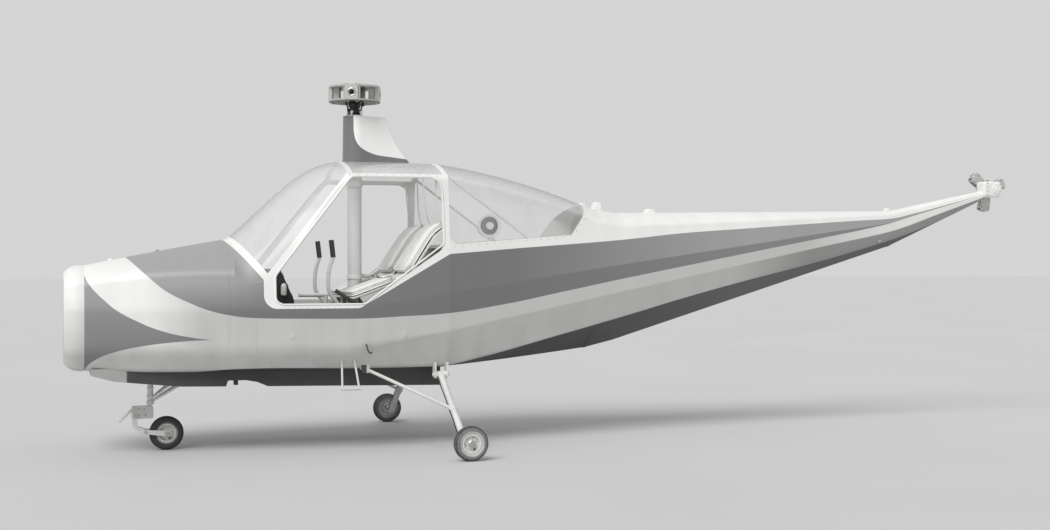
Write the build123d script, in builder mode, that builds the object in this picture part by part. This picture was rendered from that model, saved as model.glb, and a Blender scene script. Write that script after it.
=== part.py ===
from build123d import *
import os
from math import cos, radians, sin

# A two-seat helicopter of about 1960 with its engine in the nose, parked on its wheels
# without rotor blades or doors. Millimetres. +X points aft, +Y to starboard, +Z up.
# The floor is z = 0, and x = 0 is halfway between the nose bowl and the tail rotor.

# Skins, plates and clearances
skin_wall = 12.0
frame_wall = 20.0
glass_wall = 5.0
tail_wall = 8.0
plate_wall = 10.0
bore_gap = 0.5
move_gap = 6.0
soft_gap = 0.3

# Fuselage stations
x_bowl = -4530.0
x_screen_foot = -3359.0
x_roof_front = -2420.0
x_roof_rear = -1548.0
x_tail = -60.0
x_tail_knee = 210.0
x_tail_kink = 3200.0
x_tail_end = 4305.0

# Fuselage sections. Columns: x, keel height, then half width and height of the chine,
# the low crease, the mid crease and the rail, then the crown's height, the radius of the
# chine, the radius of both creases and the radius of the rail.
nose_sections = [
    (x_bowl, 690, 345, 706, 432, 860, 446, 1200, 400, 1430, 1560, 60, 200, 110),
    (-3850, 640, 465, 690, 560, 860, 585, 1190, 530, 1500, 1697, 60, 220, 120),
    (x_screen_foot, 620, 530, 700, 645, 860, 682, 1180, 640, 1500, 1787, 60, 220, 120),
]
screen_sections = [
    nose_sections[-1],
    (-3080, 620, 545, 702, 676, 855, 706, 1180, 672, 1460, 2050, 60, 220, 140),
    (-2720, 620, 550, 702, 692, 850, 712, 1180, 640, 1925, 2352, 60, 200, 120),
    (x_roof_front, 620, 550, 698, 694, 850, 712, 1190, 607, 2312, 2468, 60, 160, 60),
]
roof_sections = [
    screen_sections[-1],
    (x_roof_rear, 640, 535, 690, 664, 1000, 688, 1328, 600, 2325, 2472, 50, 60, 60),
]
rear_sections = [
    roof_sections[-1],
    (-870, 705, 462, 838, 570, 1130, 588, 1420, 505, 2190, 2350, 40, 45, 60),
    (x_tail, 800, 355, 1038, 450, 1284, 468, 1540, 395, 1950, 2095, 30, 35, 60),
]
tail_sections = [
    rear_sections[-1],
    (x_tail_knee, 862, 325, 1105, 416, 1335, 434, 1578, 366, 1925, 2052, 30, 35, 55),
    (x_tail_kink, 1754, 60, 1843, 84, 1905, 90, 1990, 76, 2060, 2106, 16, 20, 20),
]
boom_sections = [
    tail_sections[-1],
    (x_tail_end, 2228, 26, 2238, 40, 2256, 44, 2280, 36, 2306, 2326, 14, 14, 14),
]

# Nose bowl and its intake
bowl_length = 158.0
bowl_shrink = 62.0
bowl_ring = 34.0
grille_depth = 60.0
grille_thick = 14.0
grille_rim = 20.0
grille_bar = 9.0
grille_rows = 7
grille_columns = 9

# Engine and firewall
engine_x = -4330.0
engine_size = (640.0, 700.0, 420.0)
engine_z = 1100.0
engine_chamfer = 60.0
engine_mount_y = 240.0
engine_mount_r = 18.0
firewall_x = -3410.0

# Belly tray, seen from the side
tray_top = 720
tray_line = [(-4480, tray_top), (-4480, 668), (-4300, 616), (-4050, 590), (-3768, 562), (-3405, 554),
             (-3388, 602), (-3242, 602), (-3150, 585), (-3059, 547), (-1567, 518), (-1567, tray_top)]
tray_half = 400.0

# Window line, seen from the side: (x, z) of the white frame and of the door opening
base_low = [(-3410, 1786), (-3132, 1440)]
base_high = [(-3350, 1812), (-3099, 1492)]
band_corners = [(-3132, 1203), (-2338, 1203), (x_roof_rear, 1657)]
band_radii = [110, 90]
door_line = [(-3030, 1245), (-3030, 1470), (-2385, 2303), (-1612, 2308), (-1606, 1700), (-2290, 1245)]
door_radii = [60, 30, 60, 110, 70, 60]
pillar_top = (-2424, 2341)
sill_rear = 1780.0
sill_glass_front = 1737.0
sill_glass_end = (-365, 1832)
crown_glass_end = (-145, 2128)
glass_radii = [80, 60]
strip_half = 16.0
plank_half = 170.0
bow_width = 50.0

# Cabin
floor_z = 1080.0
deck_z = 1712.0
bulkhead_x = -1575.0
mast_x = -2242.0
mast_tube_r = 62.0
mast_tube_top = 2860.0
rotor_shaft_r = 38.0
stick_r = 17.0
grip_r = 22.0
stick_line = [(-2420, 1080), (-2469, 1249), (-2530, 1342), (-2537, 1413), (-2534, 1484), (-2494, 1626)]
grip_top = (-2512, 1777)
pedestal_x = (-3010.0, -2800.0)
pedestal_half = 150.0
pedestal_z = 1530.0
pedestal_step = (90.0, 180.0)
pedal_x = -2960.0
pedal_rise = 150.0
pedal_spread = 80.0
pedal_arm_r = 11.0
pedal_size = (14.0, 90.0, 110.0)
pedal_lean = 20.0
ring_place = (-998.0, 0.0, 1919.0)
ring_r = 112.0
ring_wall = 24.0
ring_width = 34.0
ring_web = 10.0
ring_stalk_r = 14.0
knob_r = 34.0
knob_length = 66.0
rear_brace_y = 500.0
rear_brace_r = 11.0
rear_brace_line = [(-1562, 2358), (-670, 1712)]

# Collective levers, beside the left seat and between the seats.
# Columns: y, then (x, z) of the foot, the bend and the tip.
levers = [
    (-620, (-2200, 1080), (-2200, 1140), (-2530, 1350)),
    (0, (-2497, 1080), (-2497, 1300), (-2736, 1300)),
]

# Seats, one each side of the mast tube. Their lines are (x, z) under the pads.
seat_places = {"left": -330.0, "right": 330.0}
seat_width = 500.0
seat_head_width = 400.0
seat_shoulder_z = 1560.0
seat_head_z = 1950.0
seat_head_round = 70.0
pan_line = [(-2372, 1290), (-1985, 1430)]
back_line = [(-1877, 1492), (-1660, 1816), (-1561, 1892)]
pan_thick = 55.0
back_thick = 60.0
shell_thick = 14.0
seat_leg_r = 12.0
seat_leg_inset = 40.0
cushion_round = 0.42
cushion_bend_r = 120.0
cushion_setback = (24.0, 8.7)

# Main landing gear
track_half = 1495.0
main_axle_x = -1607.0
main_wheel_r = 140.0
tyre_width = 92.0
rim_r = 78.0
rim_width = 70.0
rim_edge = 10.0
rim_waist = 6.0
rim_web = (12.0, 8.0)
bead_rise = (6.0, 3.0)
tread_round = (18.0, 9.0)
hub_boss_r = 34.0
axle_r = 15.0
leg_r = 27.0
leg_top = (570.0, 622.0)
leg_foot_y = 1310.0
barrel_half = 60.0
barrel_wall = 4.0
lug_thick = 14.0
lug_y = (520.0, 600.0)
lug_drop = 20.0
lug_top = 730.0
knuckle_r = 32.0
knuckle_length = 85.0
brace_r = 14.0
brace_top = (-2272.0, 540.0, 690.0)
brace_share = 0.54
brace_lug = (70.0, 50.0, 70.0)
step_x = (-2497.0, -2330.0)
step_y = 690.0
step_z = 530.0
step_r = 9.0
step_top_y = 600.0

# Nose landing gear
strut_x = -3990.0
strut_r = 24.0
strut_top = 600.0
strut_foot = 384.0
spindle_r = 14.0
spindle_length = 60.0
nose_wheel_r = 142.0
nose_trail = 133.0
nose_tyre_width = 84.0
fork_plate_front = -4142.0
fork_plate_rear = -3966.0
fork_plate_z = (270.0, 376.0)
fork_plate_half = 26.0
fork_arm = 14.0
fork_gap = 9.0
fork_corner = (-4112.0, 196.0)
fork_bolt = (-4032.0, 160.0)
handle_end = (-4236.0, 250.0)
nose_brace_z = (430.0, 404.0)
nose_brace_top_x = (-3775.0, -3672.0)
nose_brace_r = 10.0
nose_brace_y = 120.0

# Rotor head and pylon. Fairing columns: height, leading edge x, trailing edge x,
# nose radius and tail radius.
fairing_sections = [(2430, -2350, -1700, 128, 22), (2690, -2345, -1893, 112, 18), (2874, -2343, -1957, 100, 14)]
fairing_wall = 6.0
hub_r = 224.0
hub_bottom = 2996.0
hub_top = 3137.0
hub_plate = 16.0
hub_arms = 4
hub_block_width = 112.0
hub_block_depth = 96.0
hub_bore_r = 24.0
hub_post_r = 12.0
hub_post_place = 204.0
hub_post_spread = 27.0
hub_turn = -18.5
hub_core_r = 62.0
swash_r = 54.0
swash_bottom = 2892.0

# Tail rotor
gearbox_x = (4290.0, 4500.0)
gearbox_half = 70.0
gearbox_z = (2262.0, 2422.0)
gearbox_round = 26.0
tail_blades = 3
tail_hub_x = 4465.0
tail_hub_z = 2345.0
tail_boss_y = 92.0
tail_boss_r = 32.0
tail_shaft_r = 16.0
tail_hub_y = 140.0
tail_hub_r = 44.0
tail_hub_half = 36.0
tail_grip_r = 30.0
tail_grip_reach = 226.4
tail_grip_bore = 13.0
tail_bore_depth = 110.0
tail_turn = 20.0
spider_y = 62.0
spider_r = 10.0
spider_reach = 78.0
spider_lead = 30.0


def section(row, inset=0.0):
    """One closed fuselage section, with its corners rounded."""
    x, keel, cy, cz, ly, lz, my, mz, ry, rz, crown, r_chine, r_crease, r_rail = row
    side = [(0, keel), (cy, cz), (ly, lz), (my, mz), (ry, rz)]
    with BuildSketch(Plane.YZ.offset(x), mode=Mode.PRIVATE) as sketch:
        with BuildLine():
            Polyline(*side)
            ThreePointArc((ry, rz), (0, crown), (-ry, rz))
            Polyline(*[(-y, z) for y, z in reversed(side)])
        make_face()
        for z, radius in ((cz, r_chine), (lz, r_crease), (mz, r_crease), (rz, r_rail)):
            corners = [v for v in sketch.vertices() if abs(v.Y - z) < 0.01 and abs(v.X) > 1]
            fillet(corners, radius)
        if inset:
            offset(amount=-inset, mode=Mode.REPLACE)
    return sketch.sketch.face()


def form(rows, inset=0.0, ruled=False):
    """The solid inside one stretch of fuselage, or inside its skin."""
    with BuildPart(mode=Mode.PRIVATE) as body:
        loft(sections=[section(row, inset) for row in rows], ruled=ruled)
    return body.part


def side_prism(points, y_from=-2000.0, y_to=2000.0, radii=(), inset=0.0):
    """A prism across the fuselage, with its outline drawn in side view."""
    with BuildPart(mode=Mode.PRIVATE) as prism:
        with BuildSketch(Plane.XZ.offset(-y_from)) as outline:
            with BuildLine():
                Polyline(*points, close=True)
            make_face()
            for (x, z), radius in zip(points, radii):
                if radius:
                    near = sorted(outline.vertices(), key=lambda v: abs(v.X - x) + abs(v.Y - z))
                    fillet(near[0], radius)
            if inset:
                offset(amount=-inset, kind=Kind.INTERSECTION, mode=Mode.REPLACE)
        extrude(amount=-(y_to - y_from))
    return prism.part


def slab(x, y, z):
    """A plain box between pairs of limits."""
    with BuildPart(mode=Mode.PRIVATE) as block:
        with Locations(((x[0] + x[1]) / 2, (y[0] + y[1]) / 2, (z[0] + z[1]) / 2)):
            Box(x[1] - x[0], y[1] - y[0], z[1] - z[0])
    return block.part


def rod(start, end, radius):
    """A round bar between two points."""
    start, end = Vector(*start), Vector(*end)
    with BuildPart(mode=Mode.PRIVATE) as bar:
        with BuildSketch(Plane(start, z_dir=end - start)):
            Circle(radius)
        extrude(amount=(end - start).length)
    return bar.part


def link(start, end, r_start, r_end, y, thickness):
    """A flat link in side view, rounded round both its ends and centred on y."""
    with BuildPart(mode=Mode.PRIVATE) as bar:
        with BuildSketch(Plane.XZ.offset(-y)):
            with Locations(start):
                Circle(r_start)
            with Locations(end):
                Circle(r_end)
            make_hull()
        extrude(amount=thickness / 2, both=True)
    return bar.part


def panel(pieces, *keep, without=()):
    """What the given cutters keep of one or more stretches of skin."""
    with BuildPart(mode=Mode.PRIVATE) as piece:
        for shell in pieces:
            with BuildPart(mode=Mode.PRIVATE) as bit:
                add(shell)
                for cutter in keep:
                    add(cutter, mode=Mode.INTERSECT)
                for cutter in without:
                    add(cutter, mode=Mode.SUBTRACT)
            add(bit.part)
    return piece.part


def save(piece, name):
    piece.part.label = name
    export_step(piece.part, f"parts/{name}.step")


os.makedirs("parts", exist_ok=True)

# The fuselage's stretches, and their shells at each thickness
stretches = {
    "nose": (nose_sections, False),
    "screen": (screen_sections, False),
    "roof": (roof_sections, True),
    "rear": (rear_sections, False),
    "tail": (tail_sections, True),
    "boom": (boom_sections, True),
}
walls = {
    skin_wall: ("nose", "screen", "roof", "rear"),
    frame_wall: ("nose", "screen", "roof", "rear"),
    glass_wall: ("screen", "roof", "rear"),
    tail_wall: ("tail", "boom"),
}
outer = {name: form(rows, 0, ruled) for name, (rows, ruled) in stretches.items()}
room = {}
shell = {}
for wall, names in walls.items():
    for name in names:
        room[name, wall] = form(stretches[name][0], wall, stretches[name][1])
        with BuildPart() as skin:
            add(outer[name])
            add(room[name, wall], mode=Mode.SUBTRACT)
        shell[name, wall] = skin.part

# Nose bowl: a ring with a rounded lip round the cooling intake
bowl_front_x = x_bowl - bowl_length
mouth_inset = bowl_shrink + bowl_ring
with BuildPart() as nose_bowl:
    slices = []
    for share, shrink in ((0.0, 0.0), (0.6, 0.16), (1.0, 1.0)):
        row = (x_bowl - share * bowl_length,) + nose_sections[0][1:]
        slices.append(section(row, shrink * bowl_shrink))
    loft(sections=slices)
    extrude(section(nose_sections[0], mouth_inset), amount=-bowl_length, mode=Mode.SUBTRACT)
save(nose_bowl, "nose_bowl")

# Intake grille: a rim with upright and level bars, seated in the bowl's mouth
keel_z, crown_z = nose_sections[0][1], nose_sections[0][10]
grille_row = (bowl_front_x + grille_depth,) + nose_sections[0][1:]
with BuildPart() as intake_grille:
    extrude(section(grille_row, mouth_inset), amount=grille_thick)
    with BuildPart(mode=Mode.PRIVATE) as windows:
        extrude(section(grille_row, mouth_inset + grille_rim), amount=grille_thick)
        with BuildSketch(Plane.YZ.offset(grille_row[0])):
            for number in range(grille_rows):
                level = (number + 1) / (grille_rows + 1)
                with Locations((0, keel_z + level * (crown_z - keel_z))):
                    Rectangle(2000, grille_bar)
            for number in range(grille_columns):
                side = 2 * (number + 1) / (grille_columns + 1) - 1
                with Locations((side * nose_sections[0][6], keel_z)):
                    Rectangle(grille_bar, 4000)
        extrude(amount=grille_thick, mode=Mode.SUBTRACT)
    add(windows.part, mode=Mode.SUBTRACT)
save(intake_grille, "intake_grille")

# Engine: one plain block behind the intake, on two bearers from the firewall
with BuildPart() as engine_block:
    with Locations((engine_x + engine_size[0] / 2, 0, engine_z)):
        Box(*engine_size)
    chamfer(engine_block.edges().filter_by(Axis.X), engine_chamfer)
    for y in (-engine_mount_y, engine_mount_y):
        add(rod((engine_x + engine_size[0], y, engine_z), (firewall_x, y, engine_z), engine_mount_r))
save(engine_block, "engine_block")

with BuildPart() as engine_cowl:
    add(panel([shell["nose", skin_wall]], slab((x_bowl, firewall_x), (-900, 900), (0, 3000))))
save(engine_cowl, "engine_cowl")

with BuildPart() as firewall:
    add(panel([room["nose", skin_wall]], slab((firewall_x, firewall_x + plate_wall), (-900, 900), (0, 3000))))
save(firewall, "firewall")

# Cabin tub: the skin below the window line, from the firewall to the tail
tub_line = [(firewall_x, 400), *base_low, *band_corners, (x_tail, sill_rear), (x_tail, 400)]
cabin_names = ("nose", "screen", "roof", "rear")
with BuildPart() as cabin_tub:
    add(panel([shell[name, skin_wall] for name in cabin_names],
              side_prism(tub_line, radii=[0, 0, 0, *band_radii])))
save(cabin_tub, "cabin_tub")

# Belly tray: a shallow open-topped box under the fuselage, fitted to its bottom
with BuildPart() as belly_tray:
    add(side_prism(tray_line, -tray_half, tray_half))
    open_line = [(x, z + 2 * plate_wall if z == tray_top else z) for x, z in tray_line]
    add(side_prism(open_line, -tray_half + plate_wall, tray_half - plate_wall, inset=plate_wall),
        mode=Mode.SUBTRACT)
    for name in cabin_names:
        add(outer[name], mode=Mode.SUBTRACT)
save(belly_tray, "belly_tray")

# Windscreen: two moulded halves, the base band they stand in and the strip between them
screen_line = [base_high[0], base_high[1], pillar_top, (pillar_top[0], 2700), (base_high[0][0], 2700)]
screen_prism = side_prism(screen_line)
with BuildPart() as windscreen_base:
    add(panel([shell["nose", frame_wall], shell["screen", frame_wall]],
              side_prism([base_low[0], base_low[1], base_high[1], base_high[0]])))
save(windscreen_base, "windscreen_base")
with BuildPart() as windscreen_strip:
    add(panel([shell["screen", frame_wall]], screen_prism,
              slab((-4000, x_roof_front), (-strip_half, strip_half), (0, 3000))))
save(windscreen_strip, "windscreen_strip")
for name, y in (("windscreen_left", (-900, -strip_half)), ("windscreen_right", (strip_half, 900))):
    with BuildPart() as windscreen:
        add(panel([shell["screen", glass_wall]], screen_prism,
                  slab((-4000, x_roof_front), y, (0, 3000))))
    save(windscreen, name)

# Door frames: one white ring round each doorway, flush with the skin
frame_line = [base_low[1], *band_corners, (x_roof_rear, pillar_top[1]), pillar_top, base_high[1]]
for name, y in (("door_frame_left", (-900, 0)), ("door_frame_right", (0, 900))):
    with BuildPart() as door_frame:
        add(panel([shell["screen", frame_wall], shell["roof", frame_wall]],
                  side_prism(frame_line, *y, radii=[0, *band_radii]),
                  without=[side_prism(door_line, *y, radii=door_radii)]))
    save(door_frame, name)

# Roof: front and rear bows joined by a plank, with a glass skylight each side
roof_prism = slab((x_roof_front, x_roof_rear), (-900, 900), (pillar_top[1], 3000))
skylight_x = (x_roof_front + bow_width, x_roof_rear - bow_width)
skylight_cutters = [slab(skylight_x, y, (0, 3000)) for y in ((-900, -plank_half), (plank_half, 900))]
with BuildPart() as roof_frame:
    add(panel([shell["roof", frame_wall]], roof_prism, without=skylight_cutters))
    add(rod((mast_x, 0, pillar_top[1]), (mast_x, 0, mast_tube_top), mast_tube_r), mode=Mode.SUBTRACT)
save(roof_frame, "roof_frame")
for name, cutter in (("skylight_left", skylight_cutters[0]), ("skylight_right", skylight_cutters[1])):
    with BuildPart() as skylight:
        add(panel([shell["roof", glass_wall]], roof_prism, cutter))
    save(skylight, name)

# Rear window and the white coaming it stands in
glass_line = [(x_roof_rear, sill_glass_front), sill_glass_end, crown_glass_end,
              (crown_glass_end[0], 2700), (x_roof_rear, 2700)]
glass_prism = side_prism(glass_line, radii=glass_radii)
with BuildPart() as rear_window:
    add(panel([shell["rear", glass_wall]], glass_prism))
save(rear_window, "rear_window")
coaming_line = [band_corners[2], (x_roof_rear, 2700), (x_tail, 2700), (x_tail, sill_rear)]
with BuildPart() as rear_coaming:
    add(panel([shell["rear", frame_wall]], side_prism(coaming_line), without=[glass_prism]))
save(rear_coaming, "rear_coaming")

# Tail: a creased sheet cone and its slim boom
for name, place in (("tail_cone", "tail"), ("tail_boom", "boom")):
    with BuildPart() as tail:
        add(shell[place, tail_wall])
    save(tail, name)

# Cabin floor, rear bulkhead and the deck under the rear window
with BuildPart() as cabin_floor:
    add(panel([room[name, skin_wall] for name in ("nose", "screen", "roof")],
              slab((firewall_x + plate_wall, bulkhead_x), (-900, 900), (floor_z - plate_wall, floor_z))))
save(cabin_floor, "cabin_floor")
with BuildPart() as rear_deck:
    add(panel([room["rear", frame_wall]],
              slab((x_roof_rear, x_tail), (-900, 900), (deck_z - plate_wall, deck_z))))
    add(panel([room["roof", frame_wall]],
              slab((bulkhead_x, bulkhead_x + plate_wall), (-900, 900), (floor_z - plate_wall, deck_z))))
    add(panel([room["roof", frame_wall]],
              slab((bulkhead_x, x_roof_rear), (-900, 900), (deck_z - plate_wall, deck_z))))
save(rear_deck, "rear_deck")

# Mast tube: fixed, from the cabin floor through the roof into the pylon
with BuildPart() as mast_tube:
    add(rod((mast_x, 0, floor_z), (mast_x, 0, mast_tube_top), mast_tube_r))
    add(rod((mast_x, 0, floor_z + plate_wall), (mast_x, 0, mast_tube_top), rotor_shaft_r + bore_gap),
        mode=Mode.SUBTRACT)
save(mast_tube, "mast_tube")


def fairing_form(inset):
    """The pylon's streamlined form, or the room inside its skin."""
    with BuildPart(mode=Mode.PRIVATE) as body:
        for z, front_x, rear_x, r_front, r_rear in fairing_sections:
            with BuildSketch(Plane.XY.offset(z)):
                with Locations((front_x + r_front, 0)):
                    Circle(r_front - inset)
                with Locations((rear_x - r_rear, 0)):
                    Circle(r_rear - inset)
                make_hull()
        loft()
    return body.part


with BuildPart() as mast_fairing:
    add(fairing_form(0))
    add(fairing_form(fairing_wall), mode=Mode.SUBTRACT)
    add(outer["roof"], mode=Mode.SUBTRACT)
save(mast_fairing, "mast_fairing")

# Instrument pedestal, pedals, sticks and collective levers, all cut off at the floor
below_floor = slab((firewall_x, bulkhead_x), (-900, 900), (0, floor_z))
with BuildPart() as pedestal:
    with BuildSketch(Plane.XZ.offset(-pedestal_half)):
        with BuildLine():
            Polyline((pedestal_x[0], floor_z), (pedestal_x[1], floor_z),
                     (pedestal_x[1], floor_z + pedestal_step[1]), (pedestal_x[0] + pedestal_step[0], pedestal_z),
                     (pedestal_x[0], pedestal_z), close=True)
        make_face()
    extrude(amount=2 * pedestal_half)
save(pedestal, "instrument_pedestal")
with BuildPart() as pedals:
    for y in seat_places.values():
        for foot in (y - pedal_spread, y + pedal_spread):
            head = (pedal_x - 60, foot, floor_z + pedal_rise)
            add(rod((pedal_x, foot, floor_z), head, pedal_arm_r))
            with Locations(Location(head, (0, -pedal_lean, 0))):
                Box(*pedal_size)
    add(below_floor, mode=Mode.SUBTRACT)
save(pedals, "pedals")
with BuildPart() as stick:
    with BuildLine(Plane.XZ) as curve:
        Spline(*stick_line)
    with BuildSketch(Plane(curve.line @ 0, z_dir=curve.line % 0)):
        Circle(stick_r)
    sweep(path=curve.line)
    (neck_x, neck_z), (top_x, top_z) = stick_line[-1], grip_top
    add(rod((neck_x, 0, neck_z), (top_x, 0, top_z), grip_r))
    add(below_floor, mode=Mode.SUBTRACT)
with BuildPart() as control_sticks:
    for y in seat_places.values():
        with Locations((0, y, 0)):
            add(stick.part)
save(control_sticks, "control_sticks")
with BuildPart() as collective_levers:
    for y, foot, bend, tip in levers:
        for (x_from, z_from), (x_to, z_to) in ((foot, bend), (bend, tip)):
            add(rod((x_from, y, z_from), (x_to, y, z_to), stick_r))
        with Locations((bend[0], y, bend[1])):
            Sphere(stick_r)
save(collective_levers, "collective_levers")

# Ring round a webbed disc with a knob, on a stalk behind the seats
with BuildPart() as deck_ring:
    for outside, inside, width in ((ring_r, ring_r - ring_wall, ring_width), (ring_r - ring_wall / 2, 0, ring_web),
                                   (knob_r, 0, knob_length)):
        with BuildSketch(Plane.XZ.offset(-ring_place[1])):
            with Locations((ring_place[0], ring_place[2])):
                Circle(outside)
                if inside:
                    Circle(inside, mode=Mode.SUBTRACT)
        extrude(amount=width / 2, both=True)
    add(rod((ring_place[0], 0, deck_z), (ring_place[0], 0, ring_place[2] - ring_r + ring_wall / 2), ring_stalk_r))
save(deck_ring, "deck_ring")

with BuildPart() as rear_braces:
    (top_x, top_z), (foot_x, foot_z) = rear_brace_line
    for side in (-1, 1):
        y = side * rear_brace_y
        add(rod((top_x, y, top_z), (foot_x, y, foot_z), rear_brace_r))
    for name in ("roof", "rear"):
        add(shell[name, frame_wall], mode=Mode.SUBTRACT)
    add(rear_deck.part, mode=Mode.SUBTRACT)
save(rear_braces, "rear_braces")


# Seats: a bent shell on legs for each place, with a pan cushion and a back cushion
def lowered(points, distance):
    """A side-view line moved square to itself, away from the sitter, with mitred corners."""
    runs = [(Vector(*b) - Vector(*a)).normalized() for a, b in zip(points, points[1:])]
    normals = [Vector(run.Y, -run.X) for run in runs]
    pairs = zip([normals[0]] + normals, normals + [normals[-1]])
    shifts = [(a + b) * (distance / (1 + a.dot(b))) for a, b in pairs]
    return [(x + shift.X, z + shift.Y) for (x, z), shift in zip(points, shifts)]


with BuildPart() as seat_outline:
    with BuildSketch(Plane.YZ.offset(pan_line[0][0] - 100)) as front_view:
        with BuildLine():
            corners = [(seat_width / 2, floor_z), (seat_width / 2, seat_shoulder_z), (seat_head_width / 2, seat_head_z)]
            Polyline(*corners, *[(-y, z) for y, z in reversed(corners)], close=True)
        make_face()
        fillet([v for v in front_view.vertices() if abs(v.Y - seat_head_z) < 0.01], seat_head_round)
    extrude(amount=back_line[-1][0] - pan_line[0][0] + 200)


def cushion(line, thick):
    """A padded form that stands soft_gap off a side-view line, as wide as the seat."""
    near, far = lowered(line, -soft_gap), lowered(line, -soft_gap - thick)
    end, bends = thick * cushion_round, len(line) - 2
    radii = [end, *[0] * bends, end, end, *[cushion_bend_r] * bends, end]
    with BuildPart(mode=Mode.PRIVATE) as piece:
        add(side_prism([*near, *reversed(far)], -seat_width / 2, seat_width / 2, radii=radii))
        add(seat_outline.part, mode=Mode.INTERSECT)
    return piece.part


seat_line = lowered([*pan_line, *back_line], shell_thick / 2)
pan_slope = (seat_line[1][1] - seat_line[0][1]) / (seat_line[1][0] - seat_line[0][0])
with BuildPart() as seat_frame:
    for low, high in zip(seat_line, seat_line[1:]):
        add(link(low, high, shell_thick / 2, shell_thick / 2, 0, seat_width))
    for x in (seat_line[0][0] + seat_leg_inset, seat_line[1][0] - seat_leg_inset):
        for side in (-1, 1):
            foot = side * (seat_width / 2 - 60)
            head_z = seat_line[0][1] + (x - seat_line[0][0]) * pan_slope
            add(rod((x, foot, floor_z), (x, foot, head_z), seat_leg_r))
    add(seat_outline.part, mode=Mode.INTERSECT)
with BuildPart() as seat_shells:
    for y in seat_places.values():
        with Locations((0, y, 0)):
            add(seat_frame.part)
save(seat_shells, "seat_shells")
cushion_end = (pan_line[1][0] - cushion_setback[0], pan_line[1][1] - cushion_setback[1])
for name, y in seat_places.items():
    with BuildPart() as seat_pan:
        with Locations((0, y, 0)):
            add(cushion([pan_line[0], cushion_end], pan_thick))
    save(seat_pan, f"seat_pan_{name}")
    with BuildPart() as seat_back:
        with Locations((0, y, 0)):
            add(cushion(back_line, back_thick))
    save(seat_back, f"seat_back_{name}")


def wheel(place, radius, width):
    """The wheel's rim and disc, and its tyre, on an axle along Y."""
    with BuildPart(mode=Mode.PRIVATE) as rim:
        with BuildSketch(Plane(place, x_dir=(1, 0, 0), z_dir=(0, 0, 1))) as profile:
            with BuildLine():
                half = rim_width / 2
                side = [(axle_r + bore_gap, half), (hub_boss_r, half), (hub_boss_r, rim_web[0]),
                        (rim_r - rim_edge - 4, rim_web[1]), (rim_r - rim_edge, half), (rim_r, half)]
                Polyline(*side, (rim_r - rim_waist, 0), *[(r, -y) for r, y in reversed(side)], close=True)
            make_face()
        revolve(axis=Axis(place, (0, 1, 0)))
    with BuildPart(mode=Mode.PRIVATE) as tyre:
        with BuildSketch(Plane(place, x_dir=(1, 0, 0), z_dir=(0, 0, 1))):
            with BuildLine():
                bead = (rim_r + bead_rise[0], rim_width / 2 + bead_rise[1])
                bulge = ((rim_r + radius) / 2, width / 2)
                edge = (radius - tread_round[0], width / 2 - tread_round[1])
                waist, flange = (rim_r - rim_waist, 0), (rim_r, rim_width / 2)
                Polyline((bead[0], -bead[1]), (flange[0], -flange[1]), waist, flange, bead)
                ThreePointArc(bead, bulge, edge)
                ThreePointArc(edge, (radius, 0), (edge[0], -edge[1]))
                ThreePointArc((edge[0], -edge[1]), (bulge[0], -bulge[1]), (bead[0], -bead[1]))
            make_face()
        revolve(axis=Axis(place, (0, 1, 0)))
    return rim.part, tyre.part


# Main legs: a splayed tube each side, with its top barrel and lugs and its axle knuckle
fuselage_bottom = [outer["screen"], outer["roof"], outer["rear"]]
with BuildPart() as main_legs:
    for side in (-1, 1):
        top = (main_axle_x, side * leg_top[0], leg_top[1])
        foot = (main_axle_x, side * leg_foot_y, main_wheel_r)
        add(rod(top, foot, leg_r))
        add(rod((top[0] - barrel_half, *top[1:]), (top[0] + barrel_half, *top[1:]), leg_r + barrel_wall))
        for x in (top[0] - barrel_half, top[0] + barrel_half - lug_thick):
            add(slab((x, x + lug_thick), sorted((side * lug_y[0], side * lug_y[1])), (top[2] - lug_drop, lug_top)))
        knuckle_out = leg_foot_y + knuckle_length
        add(rod((foot[0], side * (leg_foot_y - 20), foot[2]), (foot[0], side * knuckle_out, foot[2]), knuckle_r))
        add(rod((foot[0], side * knuckle_out, foot[2]), (foot[0], side * (track_half + rim_width / 2), foot[2]), axle_r))
    for bottom in fuselage_bottom:
        add(bottom, mode=Mode.SUBTRACT)
save(main_legs, "main_legs")

# Drag braces: from the fuselage forward of the legs down to the middle of each leg
with BuildPart() as drag_braces:
    for side in (-1, 1):
        joint_y = leg_top[0] + brace_share * (leg_foot_y - leg_top[0])
        joint_z = leg_top[1] + brace_share * (main_wheel_r - leg_top[1])
        add(rod((brace_top[0], side * brace_top[1], brace_top[2]),
                (main_axle_x, side * joint_y, joint_z), brace_r))
        with Locations((brace_top[0] + 10, side * brace_top[1], brace_top[2] - 5)):
            Box(*brace_lug)
    for bottom in fuselage_bottom:
        add(bottom, mode=Mode.SUBTRACT)
    add(main_legs.part, mode=Mode.SUBTRACT)
save(drag_braces, "drag_braces")

# Boarding steps: a stirrup under each doorway
with BuildPart() as boarding_steps:
    for side in (-1, 1):
        corners = [(step_x[0] + 12, side * step_y, step_z), (step_x[1] - 12, side * step_y, step_z)]
        for (x, y, z), drift in zip(corners, (12, -30)):
            add(rod((x, y, z), (x + drift, side * step_top_y, 800), step_r))
        add(rod((step_x[0], side * step_y, step_z), (step_x[1], side * step_y, step_z), step_r + 3))
    for bottom in fuselage_bottom:
        add(bottom, mode=Mode.SUBTRACT)
save(boarding_steps, "boarding_steps")

for name, side in (("left", -1), ("right", 1)):
    rim, tyre = wheel((main_axle_x, side * track_half, main_wheel_r), main_wheel_r, tyre_width)
    with BuildPart() as main_wheel:
        add(rim)
    save(main_wheel, f"main_wheel_{name}")
    with BuildPart() as main_tyre:
        add(tyre)
    save(main_tyre, f"main_tyre_{name}")

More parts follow.
